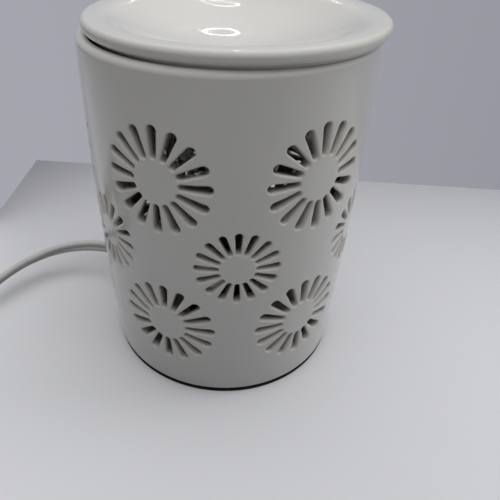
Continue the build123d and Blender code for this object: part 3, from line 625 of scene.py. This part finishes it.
def rim_rings():
    """The outline over the rim, from the outer skin to the inner one."""
    outer = (BODY_TOP_R, TOP_Z)
    inner = (BODY_TOP_R - WALL, TOP_Z)
    below_outer = (body_radius(BAND_HIGH), BAND_HIGH)
    below_inner = (body_radius(BAND_HIGH) - WALL, BAND_HIGH)
    over = eased(below_outer, outer, inner, RIM_ROUND, RIM_STEPS)
    return over + eased(outer, inner, below_inner, INNER_ROUND, INNER_STEPS)


def foot_rings():
    """The outline under the foot and over the inner floor, from the outer skin to the inner one."""
    outer = (body_radius(BAND_LOW), BAND_LOW)
    foot = (BODY_BASE_R, BASE_Z)
    step_low = (FOOT_INNER_R, BASE_Z)
    step_high = (FOOT_INNER_R, FLOOR_LOW_Z)
    hole_low = (FLOOR_HOLE_R, FLOOR_LOW_Z)
    hole_high = (FLOOR_HOLE_R, FLOOR_Z)
    corner = (body_radius(FLOOR_Z) - WALL, FLOOR_Z)
    inner = (body_radius(BAND_LOW) - WALL, BAND_LOW + FLOOR_CORNER_ROUND)
    edges = (foot, step_low, step_high, hole_low, hole_high, corner)
    rings = eased(outer, foot, step_low, FOOT_ROUND)
    for before, edge, after in zip(edges, edges[1:], edges[2:]):
        rings += eased(before, edge, after, FLOOR_EDGE_ROUND, SMALL_CORNER_STEPS)
    return rings + eased(hole_high, corner, inner, FLOOR_CORNER_ROUND)[:-1]


def end_rings(outline, verts):
    """An outline turned about Z and added after vertices: all the vertices and each ring's numbers."""
    turns = np.arange(ROUND_STEPS) * 2 * math.pi / ROUND_STEPS
    rings = []
    for radius, z in outline:
        rings.append(list(range(len(verts), len(verts) + ROUND_STEPS)))
        ring = np.stack([radius * np.cos(turns), radius * np.sin(turns), np.full(ROUND_STEPS, z)], 1)
        verts = np.concatenate([verts, ring])
    return verts, rings


def make_shell(material):
    """The shell, with its petals cut right through, every glazed edge rounded and its inside painted dark
    brown for the shade that fills it.
    """
    outer = Skin(0.0, EDGE_OFFSETS)
    inner = Skin(WALL, ())
    points, normals, thin, triangles = outer.built()
    inner_points, inner_normals, inner_thin, inner_triangles = inner.built()
    shift = len(points)
    faces = facing(triangles, points, True).tolist()
    faces += (facing(inner_triangles, inner_points, False) + shift).tolist()
    verts = np.concatenate([points, inner_points])
    normals = np.concatenate([normals, -inner_normals])
    thin = np.concatenate([thin, inner_thin])
    for ring, inner_ring in zip(outer.rings, inner.rings):
        faces += strip(ring, [k + shift for k in inner_ring])
    verts, over_rim = end_rings(rim_rings(), verts)
    verts, under_foot = end_rings(foot_rings(), verts)
    over_rim = [outer.high, *over_rim, [k + shift for k in inner.high]]
    under_foot = [outer.low, *under_foot, [k + shift for k in inner.low]]
    for ring, following in zip(over_rim, over_rim[1:]):
        faces += strip(ring, following)
    for ring, following in zip(under_foot, under_foot[1:]):
        faces += strip(following, ring)
    fresh = len(verts) - len(normals)
    normals = np.concatenate([normals, np.zeros((fresh, 3))])
    thin = np.concatenate([thin, np.zeros(fresh)])
    rim_edge = (BODY_TOP_R - THIN_EDGE_INSET, TOP_Z - THIN_EDGE_INSET)
    edges = [rim_edge, (BODY_TOP_R - WALL, TOP_Z), (BODY_BASE_R, BASE_Z)]
    shell = add_mesh("shell", verts, faces, material, SHELL_SHARP_DEG)
    shell.data.normals_split_custom_set_from_vertices(normals.tolist())
    inside = np.zeros(len(faces), np.float32)
    inside[len(triangles):len(triangles) + len(inner_triangles)] = 1
    shell.data.attributes.new("inside", "FLOAT", "FACE").data.foreach_set("value", inside)
    set_thin(shell, np.maximum(thin, near_edges(verts, edges, THIN_EDGE_REACH)))
    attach(shell, "warmer")
    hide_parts("ceramic_body")


# Wax dish

DISH_OVERHANG = 0.1
DISH_R = BODY_TOP_R + DISH_OVERHANG
DISH_RIM_T = 4.6
DISH_SEAT_H = 1.2
DISH_SEAT_W = 4.6
DISH_SEAT_SLOPE = 0.8
DISH_TOP_ROUND = 2.0
DISH_LOW_ROUND = 1.8
DISH_SHIFT = (2.64, 0.18)
DISH_RING_CLEAR = 0.25
DISH_RING_R = BODY_TOP_R - WALL - math.hypot(*DISH_SHIFT) - DISH_RING_CLEAR
DISH_RING_H = 5.0
DISH_RING_ROUND = 0.7
DISH_THIN_REACH = 2.5
DISH_STEPS = 192
DISH_POINT_GAP = 0.02
RING_BEND_POINT = 3
DISH_RIM_W = 5.0
BOWL_R = DISH_R - DISH_RIM_W
BOWL_CURVE_R = 91.4
BOWL_LIP_R = 14.0
BOWL_WALL = 3.8
BOWL_FOOT_R = 15.0
BOWL_LEAN = math.asin(BOWL_R / (BOWL_CURVE_R + BOWL_LIP_R))
BOWL_STEPS = 26
UNDER_MID_R_SHARE = 0.62
UNDER_MID_Z_SHARE = 0.4


def make_dish(material):
    """The lift-off dish: a rim that rolls over into a shallow bowl, with a seat and a locating ring below."""
    low_z = TOP_Z + DISH_SEAT_H
    rim_z = low_z + DISH_RIM_T
    seat_r = DISH_RING_R + DISH_SEAT_W
    seat_edge = (seat_r + DISH_SEAT_SLOPE, low_z)
    bowl_z = rim_z - (BOWL_CURVE_R + BOWL_LIP_R) * (1 - math.cos(BOWL_LEAN))
    under_z = bowl_z - BOWL_WALL
    ring_low = (DISH_RING_R, TOP_Z - DISH_RING_H)
    below = (
        BOWL_FOOT_R + (DISH_RING_R - BOWL_FOOT_R) * UNDER_MID_R_SHARE,
        under_z + (ring_low[1] - under_z) * UNDER_MID_Z_SHARE,
    )
    leans = [BOWL_LEAN * n / BOWL_STEPS for n in range(BOWL_STEPS + 1)]
    bowl = [(BOWL_CURVE_R * math.sin(a), bowl_z + BOWL_CURVE_R * (1 - math.cos(a))) for a in leans]
    lip = [(BOWL_R - BOWL_LIP_R * math.sin(a), rim_z - BOWL_LIP_R * (1 - math.cos(a))) for a in leans]
    under = arc(ring_low, below, (BOWL_FOOT_R, under_z), BOWL_STEPS)
    top = eased((BOWL_R, rim_z), (DISH_R, rim_z), (DISH_R, low_z), DISH_TOP_ROUND, LARGE_CORNER_STEPS)
    low = eased((DISH_R, rim_z), (DISH_R, low_z), seat_edge, DISH_LOW_ROUND, LARGE_CORNER_STEPS)
    ring_top = (DISH_RING_R, TOP_Z)
    ring_edge = eased(ring_top, ring_low, under[RING_BEND_POINT], DISH_RING_ROUND, SMALL_CORNER_STEPS)
    outline = [(0, under_z), *under[::-1], *ring_edge[::-1], ring_top, (seat_r, TOP_Z), seat_edge]
    outline += [*low[::-1], *top[::-1], *lip, *bowl[:-1][::-1]]
    pairs = zip(outline, outline[1:])
    spaced = [after for before, after in pairs if math.dist(before, after) > DISH_POINT_GAP]
    dish = lathe("dish", [outline[0], *spaced], material, DISH_STEPS)
    points = np.array([v.co for v in dish.data.vertices]) / MM
    set_thin(dish, near_edges(points, [(DISH_R, rim_z), (DISH_R, low_z)], DISH_THIN_REACH))
    place_mesh(dish, Matrix.Translation((DISH_SHIFT[0] * MM, DISH_SHIFT[1] * MM, 0)))
    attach(dish, "dish")
    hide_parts("wax_dish")


# Lamp glass

GLASS_LOW_Z = 57.0
GLASS_CENTRE_Z = 93.0
GLASS_NECK_R = 12.0
GLASS_NECK_H = 8.8
GLASS_R = 24.0
GLASS_WALL = 0.8
GLASS_SHOULDER_DEG = 35.0
GLASS_CURVE_R_SHARE = 0.38
GLASS_CURVE_Z_SHARE = 0.56
GLASS_SHOULDER_STEPS = 10
GLASS_BALL_STEPS = 30
GLASS_STEPS = 96


def glass_outline(inset):
    """The pear shape from its neck to its top, drawn in by a wall."""
    neck = GLASS_NECK_R - inset
    ball = GLASS_R - inset
    neck_z = GLASS_LOW_Z + GLASS_NECK_H
    angle = math.radians(GLASS_SHOULDER_DEG)
    shoulder = (ball * math.cos(angle), GLASS_CENTRE_Z - ball * math.sin(angle))
    curve_r = neck + (shoulder[0] - neck) * GLASS_CURVE_R_SHARE
    curve_z = neck_z + (shoulder[1] - neck_z) * GLASS_CURVE_Z_SHARE
    side = (ball * math.cos(angle / 2), GLASS_CENTRE_Z + ball * math.sin(angle / 2))
    top = (0, GLASS_CENTRE_Z + ball)
    rising = arc((neck, neck_z), (curve_r, curve_z), shoulder, GLASS_SHOULDER_STEPS)
    closing = arc(shoulder, side, top, GLASS_BALL_STEPS)[:-1]
    return [(neck, GLASS_LOW_Z), (neck, neck_z), *rising, *closing, top]


def make_glass(material):
    """The clear glass, blown with an even wall and open at its neck."""
    outer = glass_outline(0.0)
    inner = glass_outline(GLASS_WALL)
    glass = lathe("lamp_glass", inner[::-1] + outer, material, GLASS_STEPS)
    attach(glass, "lamp_lift")
    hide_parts("bulb_glass")


# Rubber pad

PAD_INSET = 0.3
PAD_R = BODY_BASE_R - PAD_INSET
PAD_H = 1.0
PAD_BEVEL = 0.2


def make_pad(material):
    """The pad under the shell, almost flush with the shell's foot as in the photo."""
    flat_r = PAD_R - PAD_BEVEL
    side = [(flat_r, 0), (PAD_R, PAD_BEVEL), (PAD_R, PAD_H - PAD_BEVEL), (flat_r, PAD_H)]
    pad = lathe("rubber_foot_pad", [(0, 0), *side, (0, PAD_H)], material)
    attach(pad, "warmer")
    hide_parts("base_pad")


# Strain relief: places along the cord are distances from the shell's axis

GLAND_L = 20.6
GLAND_INNER_REACH = GLAND_REACH - GLAND_L
GLAND_TIP_R = 4.1
GLAND_BARREL_R = 4.8
GLAND_LIP_R = 6.0
GLAND_LIP_T = 2.0
GLAND_LIP_IN = 49.0
GLAND_LIP_OUT = GLAND_LIP_IN + GLAND_LIP_T
GLAND_FLANGE_R = 6.5
GLAND_FLANGE_T = 1.6
GLAND_FLANGE_IN = 56.7
GLAND_FLANGE_OUT = GLAND_FLANGE_IN + GLAND_FLANGE_T
GLAND_BACK_ROUND = 0.3
GLAND_FACE_ROUND = 0.8
GLAND_SLEEVE_R = 4.7
GLAND_RIBS = 5
GLAND_RIB_D = 0.45
GLAND_RIB_STEPS = 8
GLAND_TIP_L = 0.6
GLAND_TIP_BEVEL = 0.3
GLAND_STEPS = 48


def ribbed_sleeve():
    """The outline of the tapered sleeve with soft rings round it, from the flange to the tip."""
    end = GLAND_REACH - GLAND_TIP_L
    steps = GLAND_RIBS * GLAND_RIB_STEPS
    points = []
    for n in range(steps + 1):
        share = n / steps
        dip = GLAND_RIB_D * (1 - math.cos(2 * math.pi * share * GLAND_RIBS)) / 2
        radius = GLAND_SLEEVE_R + (GLAND_TIP_R - GLAND_SLEEVE_R) * share - dip
        points.append((radius, GLAND_FLANGE_OUT + (end - GLAND_FLANGE_OUT) * share))
    return points


def make_gland(material):
    """The moulded strain relief: a lip and a flange on the wall and a tapered, ringed sleeve on the cord."""
    barrel_end = (GLAND_BARREL_R, GLAND_FLANGE_IN)
    flange_back = (GLAND_FLANGE_R, GLAND_FLANGE_IN)
    flange_face = (GLAND_FLANGE_R, GLAND_FLANGE_OUT)
    sleeve_start = (GLAND_SLEEVE_R, GLAND_FLANGE_OUT)
    outline = [
        (0, GLAND_INNER_REACH),
        (GLAND_TIP_R, GLAND_INNER_REACH),
        (GLAND_BARREL_R, GLAND_LIP_IN),
        (GLAND_LIP_R, GLAND_LIP_IN),
        (GLAND_LIP_R, GLAND_LIP_OUT),
        (GLAND_BARREL_R, GLAND_LIP_OUT),
        barrel_end,
        *eased(barrel_end, flange_back, flange_face, GLAND_BACK_ROUND, SMALL_CORNER_STEPS),
        *eased(flange_back, flange_face, sleeve_start, GLAND_FACE_ROUND),
        *ribbed_sleeve(),
        (GLAND_TIP_R - GLAND_TIP_BEVEL, GLAND_REACH),
        (0, GLAND_REACH),
    ]
    gland = lathe("strain_relief", outline, material, GLAND_STEPS)
    turn = Matrix.Translation((0, 0, CORD_Z * MM)) @ Matrix.Rotation(math.radians(CORD_DEG), 4, "Z")
    place_mesh(gland, turn @ Matrix.Rotation(math.pi / 2, 4, "Y"))
    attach(gland, "warmer")
    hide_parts("cord_gland")


# Materials: sizes and depths of patterns in millimetres

GLAZE_SHADES = ((0.695, 0.685, 0.655), (0.715, 0.705, 0.675))
GLAZE_THIN = (0.66, 0.62, 0.555)
GLAZE_SPECK = (0.45, 0.36, 0.26)
SPECK_GAP = 7.0
# Painted shade: the shell's inside is coloured dark brown for the shade that fills it
INSIDE_PAINTED_SHADE = (0.2, 0.14, 0.105)


def new_material(name, colour, roughness, metallic=0.0):
    """A material with its plain values set on the shader's own sockets."""
    material = bpy.data.materials.new(name)
    material.use_nodes = True
    tree = material.node_tree
    shader = tree.nodes["Principled BSDF"]
    shader.inputs["Base Color"].default_value = (*colour, 1)
    shader.inputs["Roughness"].default_value = roughness
    shader.inputs["Metallic"].default_value = metallic
    return material, tree, shader


def coordinates(tree):
    """Places on the piece itself, in metres."""
    return tree.nodes.new("ShaderNodeTexCoord").outputs["Object"]


def noise(tree, size, detail=2.0, stretch=None):
    """Noise whose blobs are about a size in millimetres, stretched along an axis if asked."""
    node = tree.nodes.new("ShaderNodeTexNoise")
    node.inputs["Scale"].default_value = 1 / (size * MM)
    node.inputs["Detail"].default_value = detail
    source = coordinates(tree)
    if stretch:
        mapping = tree.nodes.new("ShaderNodeMapping")
        mapping.inputs["Scale"].default_value = stretch
        tree.links.new(source, mapping.inputs["Vector"])
        source = mapping.outputs["Vector"]
    tree.links.new(source, node.inputs["Vector"])
    return node.outputs["Fac"]


def ramp(tree, source, stops):
    """A value turned into colours or greys by stops of (place, value or colour)."""
    node = tree.nodes.new("ShaderNodeValToRGB")
    tree.links.new(source, node.inputs["Fac"])
    elements = node.color_ramp.elements
    while len(elements) < len(stops):
        elements.new(0.5)
    for element, (place, value) in zip(elements, stops):
        element.position = place
        element.color = (*value, 1) if isinstance(value, tuple) else (value, value, value, 1)
    return node.outputs["Color"]


def mix(tree, share, low, high):
    """Two colours mixed by a share, each a colour or a socket."""
    node = tree.nodes.new("ShaderNodeMix")
    node.data_type = "RGBA"
    for socket, value in ((node.inputs["Factor"], share), (node.inputs["A"], low), (node.inputs["B"], high)):
        if isinstance(value, bpy.types.NodeSocket):
            tree.links.new(value, socket)
        else:
            socket.default_value = value if isinstance(value, float) else (*value, 1)
    return node.outputs["Result"]


def bump(tree, height, depth):
    """Relief of a depth in millimetres from a height between 0 and 1."""
    node = tree.nodes.new("ShaderNodeBump")
    node.inputs["Strength"].default_value = 1.0
    node.inputs["Distance"].default_value = depth * MM
    tree.links.new(height, node.inputs["Height"])
    return node.outputs["Normal"]


def connect(tree, shader, colour, roughness, relief):
    """Links a finish's patterns to its shader, where it has them."""
    for name, socket in (("Base Color", colour), ("Roughness", roughness), ("Normal", relief)):
        if socket is not None:
            tree.links.new(socket, shader.inputs[name])


def stored(tree, name):
    """A value that a mesh stores under a name."""
    node = tree.nodes.new("ShaderNodeAttribute")
    node.attribute_name = name
    return node.outputs["Fac"]


def glaze_material():
    """Glossy ivory glaze with faint clouds, specks and a ripple, warm where it is thin, and painted dark
    brown inside for the shade there.
    """
    low, high = GLAZE_SHADES
    material, tree, shader = new_material("glaze", high, 0.3)
    clouds = ramp(tree, noise(tree, size=40, detail=1.0), [(0.3, low), (0.7, high)])
    worn = ramp(tree, stored(tree, "thin"), [(0.45, 0.0), (1.0, 0.5)])
    # Painted shade: the inside faces take the dark brown colour that stands in for the shade in the shell
    body = mix(tree, stored(tree, "inside"), mix(tree, worn, clouds, GLAZE_THIN), INSIDE_PAINTED_SHADE)
    cells = tree.nodes.new("ShaderNodeTexVoronoi")
    cells.inputs["Scale"].default_value = 1 / (SPECK_GAP * MM)
    tree.links.new(coordinates(tree), cells.inputs["Vector"])
    specks = ramp(tree, cells.outputs["Distance"], [(0.0, 0.55), (0.035, 0.0)])
    sheen = ramp(tree, noise(tree, size=30, detail=1.0), [(0.3, 0.32), (0.7, 0.38)])
    ripple = bump(tree, noise(tree, size=24, detail=0.0), depth=0.04)
    connect(tree, shader, mix(tree, specks, body, GLAZE_SPECK), sheen, ripple)
    tree.links.new(ripple, shader.inputs["Coat Normal"])
    shader.inputs["Coat Weight"].default_value = 1.0
    shader.inputs["Coat Roughness"].default_value = 0.03
    shader.inputs["Coat IOR"].default_value = 1.5
    return material


def rubber_material():
    """Matt black rubber, a little uneven in shade and grainy."""
    low, high = (0.005, 0.005, 0.005), (0.014, 0.013, 0.012)
    material, tree, shader = new_material("rubber_pad", low, 0.9)
    colour = ramp(tree, noise(tree, size=3, detail=4.0), [(0.35, low), (0.75, high)])
    connect(tree, shader, colour, None, bump(tree, noise(tree, size=0.5, detail=3.0), depth=0.05))
    return material


def paint_material():
    """Black paint with a fine texture and greyer rubbed spots."""
    low, high = (0.008, 0.008, 0.008), (0.024, 0.023, 0.022)
    material, tree, shader = new_material("painted_plate", low, 0.6)
    colour = ramp(tree, noise(tree, size=8, detail=5.0), [(0.5, low), (0.8, high)])
    sheen = ramp(tree, noise(tree, size=5, detail=3.0), [(0.3, 0.35), (0.7, 0.6)])
    connect(tree, shader, colour, sheen, bump(tree, noise(tree, size=0.4, detail=2.0), depth=0.03))
    return material


def metal_material(name, low, high, roughness, stretch, depth):
    """Bare or plated metal with drawn streaks and a cloudy tarnish."""
    material, tree, shader = new_material(name, low, roughness, metallic=1.0)
    colour = ramp(tree, noise(tree, size=4, detail=4.0), [(0.35, low), (0.7, high)])
    streaks = noise(tree, size=0.5, detail=2.0, stretch=stretch)
    sheen = ramp(tree, streaks, [(0.3, roughness * 0.7), (0.7, roughness * 1.4)])
    connect(tree, shader, colour, sheen, bump(tree, streaks, depth))
    return material


def plastic_material(name, low, high, roughness, grain, depth, coat):
    """Moulded plastic: a slight change of shade, a fine grain and a smear of shine."""
    material, tree, shader = new_material(name, high, roughness)
    colour = ramp(tree, noise(tree, size=18, detail=3.0), [(0.3, low), (0.7, high)])
    smear = noise(tree, size=6, detail=3.0)
    sheen = ramp(tree, smear, [(0.3, roughness * 0.8), (0.7, roughness * 1.25)])
    connect(tree, shader, colour, sheen, bump(tree, noise(tree, size=grain, detail=3.0), depth))
    shader.inputs["Coat Weight"].default_value = coat
    shader.inputs["Coat Roughness"].default_value = 0.1
    return material


def glass_material():
    """Clear blown glass with faint waves and smears."""
    material, tree, shader = new_material("clear_glass", (1.0, 1.0, 1.0), 0.0)
    shader.inputs["Transmission Weight"].default_value = 1.0
    shader.inputs["IOR"].default_value = 1.5
    smears = ramp(tree, noise(tree, size=12, detail=3.0), [(0.5, 0.0), (0.8, 0.06)])
    connect(tree, shader, None, smears, bump(tree, noise(tree, size=15, detail=1.0), depth=0.05))
    return material


# Metals by slot: dark and light shade, roughness, stretch of the streaks along X, Y and Z, and their depth

METALS = {
    "zinc_steel": ((0.52, 0.53, 0.54), (0.68, 0.68, 0.67), 0.3, (1, 8, 1), 0.01),
    "brass": ((0.62, 0.44, 0.19), (0.78, 0.6, 0.3), 0.25, (1, 1, 6), 0.008),
    "cap_metal": ((0.7, 0.7, 0.7), (0.82, 0.82, 0.82), 0.22, (1, 1, 8), 0.008),
    "lamp_wire": ((0.25, 0.25, 0.26), (0.42, 0.41, 0.4), 0.35, (1, 1, 4), 0.01),
}

# Plastics by slot: dark and light shade, roughness, size and depth of the grain, and strength of the coat

PLASTICS = {
    "holder_moulding": ((0.018, 0.016, 0.015), (0.035, 0.03, 0.028), 0.35, 0.8, 0.02, 0.0),
    "cap_insulator": ((0.012, 0.012, 0.014), (0.03, 0.03, 0.034), 0.15, 1.5, 0.02, 0.6),
    "cord_white": ((0.66, 0.66, 0.65), (0.74, 0.74, 0.73), 0.38, 0.9, 0.02, 0.15),
    "switch_white": ((0.72, 0.72, 0.7), (0.78, 0.78, 0.76), 0.3, 0.5, 0.02, 0.2),
}


def make_materials():
    """Every finish of the record, by its slot."""
    made = {
        "glaze": glaze_material(),
        "rubber_pad": rubber_material(),
        "painted_plate": paint_material(),
        "clear_glass": glass_material(),
    }
    for name, finish in METALS.items():
        made[name] = metal_material(name, *finish)
    for name, finish in PLASTICS.items():
        made[name] = plastic_material(name, *finish)
    return made


def dress_nodes(materials):
    """Puts the finished materials on the CAD nodes that show, by the slot each was packed with."""
    for thing in NODES.values():
        for slot in thing.material_slots:
            slot.material = materials[slot.material.name.split(".")[0]]


# Stage: the corner of a pale light box, with painted light and shade from paler at the left to darker at the
# right

FLOOR_HALF = 2000
# Painted light and shade: the floor's seen colour runs from paler at the left to darker at the right
FLOOR_SHADES = ((0.95, 0.955, 0.99), (0.6, 0.605, 0.635))
FLOOR_SHADE_REACH = (-200, 400)
FLOOR_SHINE = 0.25
WALL_H = 200
# Painted shade: the walls glow paler at the left and darker at the right
WALL_PALE = (0.375, 0.38, 0.425)
WALL_DARK = (0.3, 0.305, 0.345)
WALL_SHADE_REACH = (-150, 250)
CORNER = (-158.7, 169.8)
CORNER_LEAN = (28.8, 5.2)
BACK_END = (1071.3, 51.2)
LEFT_END = (-159.6, 76.0)
BOUNCE_SHARE = 0.3


def shade_across(tree, reach, left, right):
    """A colour that runs from one shade to another between two places along X."""
    place = tree.nodes.new("ShaderNodeSeparateXYZ")
    tree.links.new(coordinates(tree), place.inputs["Vector"])
    across = tree.nodes.new("ShaderNodeMapRange")
    across.inputs["From Min"].default_value = reach[0] * MM
    across.inputs["From Max"].default_value = reach[1] * MM
    tree.links.new(place.outputs["X"], across.inputs["Value"])
    return mix(tree, across.outputs["Result"], left, right)


def wall_material(name, left, right):
    """A pale wall that shows as a glow the lamps don't change, with painted shade from its left colour to its
    right one, and throws little light on the object.
    """
    dull = tuple(BOUNCE_SHARE * value for value in left)
    material, tree, shader = new_material(name, dull, 0.8)
    glow = tree.nodes.new("ShaderNodeEmission")
    tree.links.new(shade_across(tree, WALL_SHADE_REACH, left, right), glow.inputs["Color"])
    shown = tree.nodes.new("ShaderNodeMixShader")
    tree.links.new(seen_rays(tree), shown.inputs["Fac"])
    tree.links.new(shader.outputs["BSDF"], shown.inputs[1])
    tree.links.new(glow.outputs["Emission"], shown.inputs[2])
    hide_back(tree, shown.outputs["Shader"])
    return material


def seen_rays(tree):
    """1 for rays that show a surface, also in gloss or through glass, and 0 for those that light others."""
    rays = tree.nodes.new("ShaderNodeLightPath").outputs
    seen = rays["Is Camera Ray"]
    for kind in ("Is Glossy Ray", "Is Transmission Ray"):
        either = tree.nodes.new("ShaderNodeMath")
        either.operation = "MAXIMUM"
        tree.links.new(seen, either.inputs[0])
        tree.links.new(rays[kind], either.inputs[1])
        seen = either.outputs["Value"]
    return seen


def hide_back(tree, surface):
    """Lets a stage panel show its front alone, so that no wall hides the object from behind."""
    behind = tree.nodes.new("ShaderNodeNewGeometry").outputs["Backfacing"]
    clear = tree.nodes.new("ShaderNodeBsdfTransparent")
    choice = tree.nodes.new("ShaderNodeMixShader")
    tree.links.new(behind, choice.inputs["Fac"])
    tree.links.new(surface, choice.inputs[1])
    tree.links.new(clear.outputs["BSDF"], choice.inputs[2])
    tree.links.new(choice.outputs["Shader"], tree.nodes["Material Output"].inputs["Surface"])


def floor_material(name, left, right):
    """Matt card that looks paler than the light it throws back and keeps the object's shadow, with painted
    light and shade in its seen colour, paler at the left and darker at the right.
    """
    dull = tuple(BOUNCE_SHARE * value for value in left)
    material, tree, shader = new_material(name, dull, 0.6)
    shades = shade_across(tree, FLOOR_SHADE_REACH, left, right)
    tree.links.new(mix(tree, seen_rays(tree), dull, shades), shader.inputs["Base Color"])
    shader.inputs["Specular IOR Level"].default_value = FLOOR_SHINE
    hide_back(tree, shader.outputs["BSDF"])
    return material


def sheet(name, corners, material):
    """A flat stage panel."""
    mesh = bpy.data.meshes.new(name)
    mesh.from_pydata([Vector(c) * MM for c in corners], [], [tuple(range(len(corners)))])
    mesh.materials.append(material)
    add_object(name, mesh)


def make_stage():
    """A floor, a back wall and a left wall, whose corner leans a little as the photograph's does."""
    half = FLOOR_HALF
    floor = [(-half, -half, 0), (half, -half, 0), (half, half, 0), (-half, half, 0)]
    lean_x, lean_y = CORNER_LEAN
    corner_top = (CORNER[0] + lean_x, CORNER[1] + lean_y, WALL_H)
    back_top = (BACK_END[0] + lean_x, BACK_END[1] + lean_y, WALL_H)
    left_top = (LEFT_END[0] + lean_x, LEFT_END[1], WALL_H)
    back_wall = [(*BACK_END, 0), back_top, corner_top, (*CORNER, 0)]
    left_wall = [(*CORNER, 0), corner_top, left_top, (*LEFT_END, 0)]
    sheet("floor", floor, floor_material("stage_floor", *FLOOR_SHADES))
    sheet("back_wall", back_wall, wall_material("stage_back", WALL_PALE, WALL_DARK))
    sheet("left_wall", left_wall, wall_material("stage_left", WALL_PALE, WALL_PALE))


# Lights: a soft lamp is (place, aim, size, power), and a ring of lamps is (centre, half its width and height)

SOFT_LAMPS = {
    "top": ((80, 90, 600), (80, 90, 60), (1150, 1000), 4.9),
    "front": ((0, -450, 500), (0, 0, 80), (400, 300), 0.25),
    "right": ((520, 60, 300), (0, 0, 80), (260, 420), 0.75),
}
RINGS = (((21, 547, 518), (14, 44)), ((42, 349, 719), (42, 22)))
RING_W = 2.5
RING_STEPS = 48
RING_LEVEL = 26
WORLD_COLOUR = (1.0, 1.0, 1.03)
WORLD_LEVEL = 0.035
WORLD_SEEN_LEVEL = 0.35


def make_soft_lamp(name, place, aim, size, power):
    """A soft lamp, aimed at a point, that leaves no reflection."""
    data = bpy.data.lights.new(name, "AREA")
    data.shape = "RECTANGLE"
    data.size, data.size_y = (side * MM for side in size)
    data.energy = power
    lamp = add_object(name, data)
    lamp.location = Vector(place) * MM
    lamp.rotation_euler = (Vector(aim) - Vector(place)).to_track_quat("-Z", "Y").to_euler()
    lamp.visible_glossy = False


def make_ring_lamp(name, centre, reach):
    """A ring of small lamps over the dish, which shows only where it is mirrored, as in the bowl."""
    place = Vector(centre)
    turned = (Vector((0, 0, TOP_Z)) - place).to_track_quat("Z", "Y")
    turns = [2 * math.pi * k / RING_STEPS for k in range(RING_STEPS)]
    verts = []
    for inset in (0, RING_W):
        across, up = (side - inset for side in reach)
        verts += [place + turned @ Vector((across * math.cos(t), up * math.sin(t), 0)) for t in turns]
    faces = strip(list(range(RING_STEPS)), list(range(RING_STEPS, 2 * RING_STEPS)))
    material = bpy.data.materials.new("ring_light")
    material.use_nodes = True
    tree = material.node_tree
    glow = tree.nodes.new("ShaderNodeEmission")
    glow.inputs["Strength"].default_value = RING_LEVEL
    tree.links.new(glow.outputs["Emission"], tree.nodes["Material Output"].inputs["Surface"])
    ring = add_mesh(name, verts, faces, material)
    ring.visible_camera = False
    ring.visible_diffuse = False


def make_world():
    """An even grey surround, which looks brighter than the light that it gives."""
    world = bpy.data.worlds.new("world")
    bpy.context.scene.world = world
    world.use_nodes = True
    tree = world.node_tree
    background = tree.nodes["Background"]
    background.inputs["Color"].default_value = (*WORLD_COLOUR, 1)
    level = tree.nodes.new("ShaderNodeMapRange")
    level.inputs["To Min"].default_value = WORLD_LEVEL
    level.inputs["To Max"].default_value = WORLD_SEEN_LEVEL
    tree.links.new(seen_rays(tree), level.inputs["Value"])
    tree.links.new(level.outputs["Result"], background.inputs["Strength"])


def make_lights():
    """Soft light from above and from the right, and the ring lamps that the bowl mirrors."""
    make_world()
    for number, (centre, reach) in enumerate(RINGS):
        make_ring_lamp(f"ring_light_{number}", centre, reach)
    for name, lamp in SOFT_LAMPS.items():
        make_soft_lamp(name, *lamp)
    bpy.context.scene.view_settings.view_transform = "Standard"


# Assembly

make_camera()
MATERIALS = make_materials()
cord = make_cord(MATERIALS["cord_white"])
dress_nodes(MATERIALS)
make_shell(MATERIALS["glaze"])
make_dish(MATERIALS["glaze"])
make_glass(MATERIALS["clear_glass"])
make_pad(MATERIALS["rubber_pad"])
make_gland(MATERIALS["cord_white"])
make_stage()
make_lights()
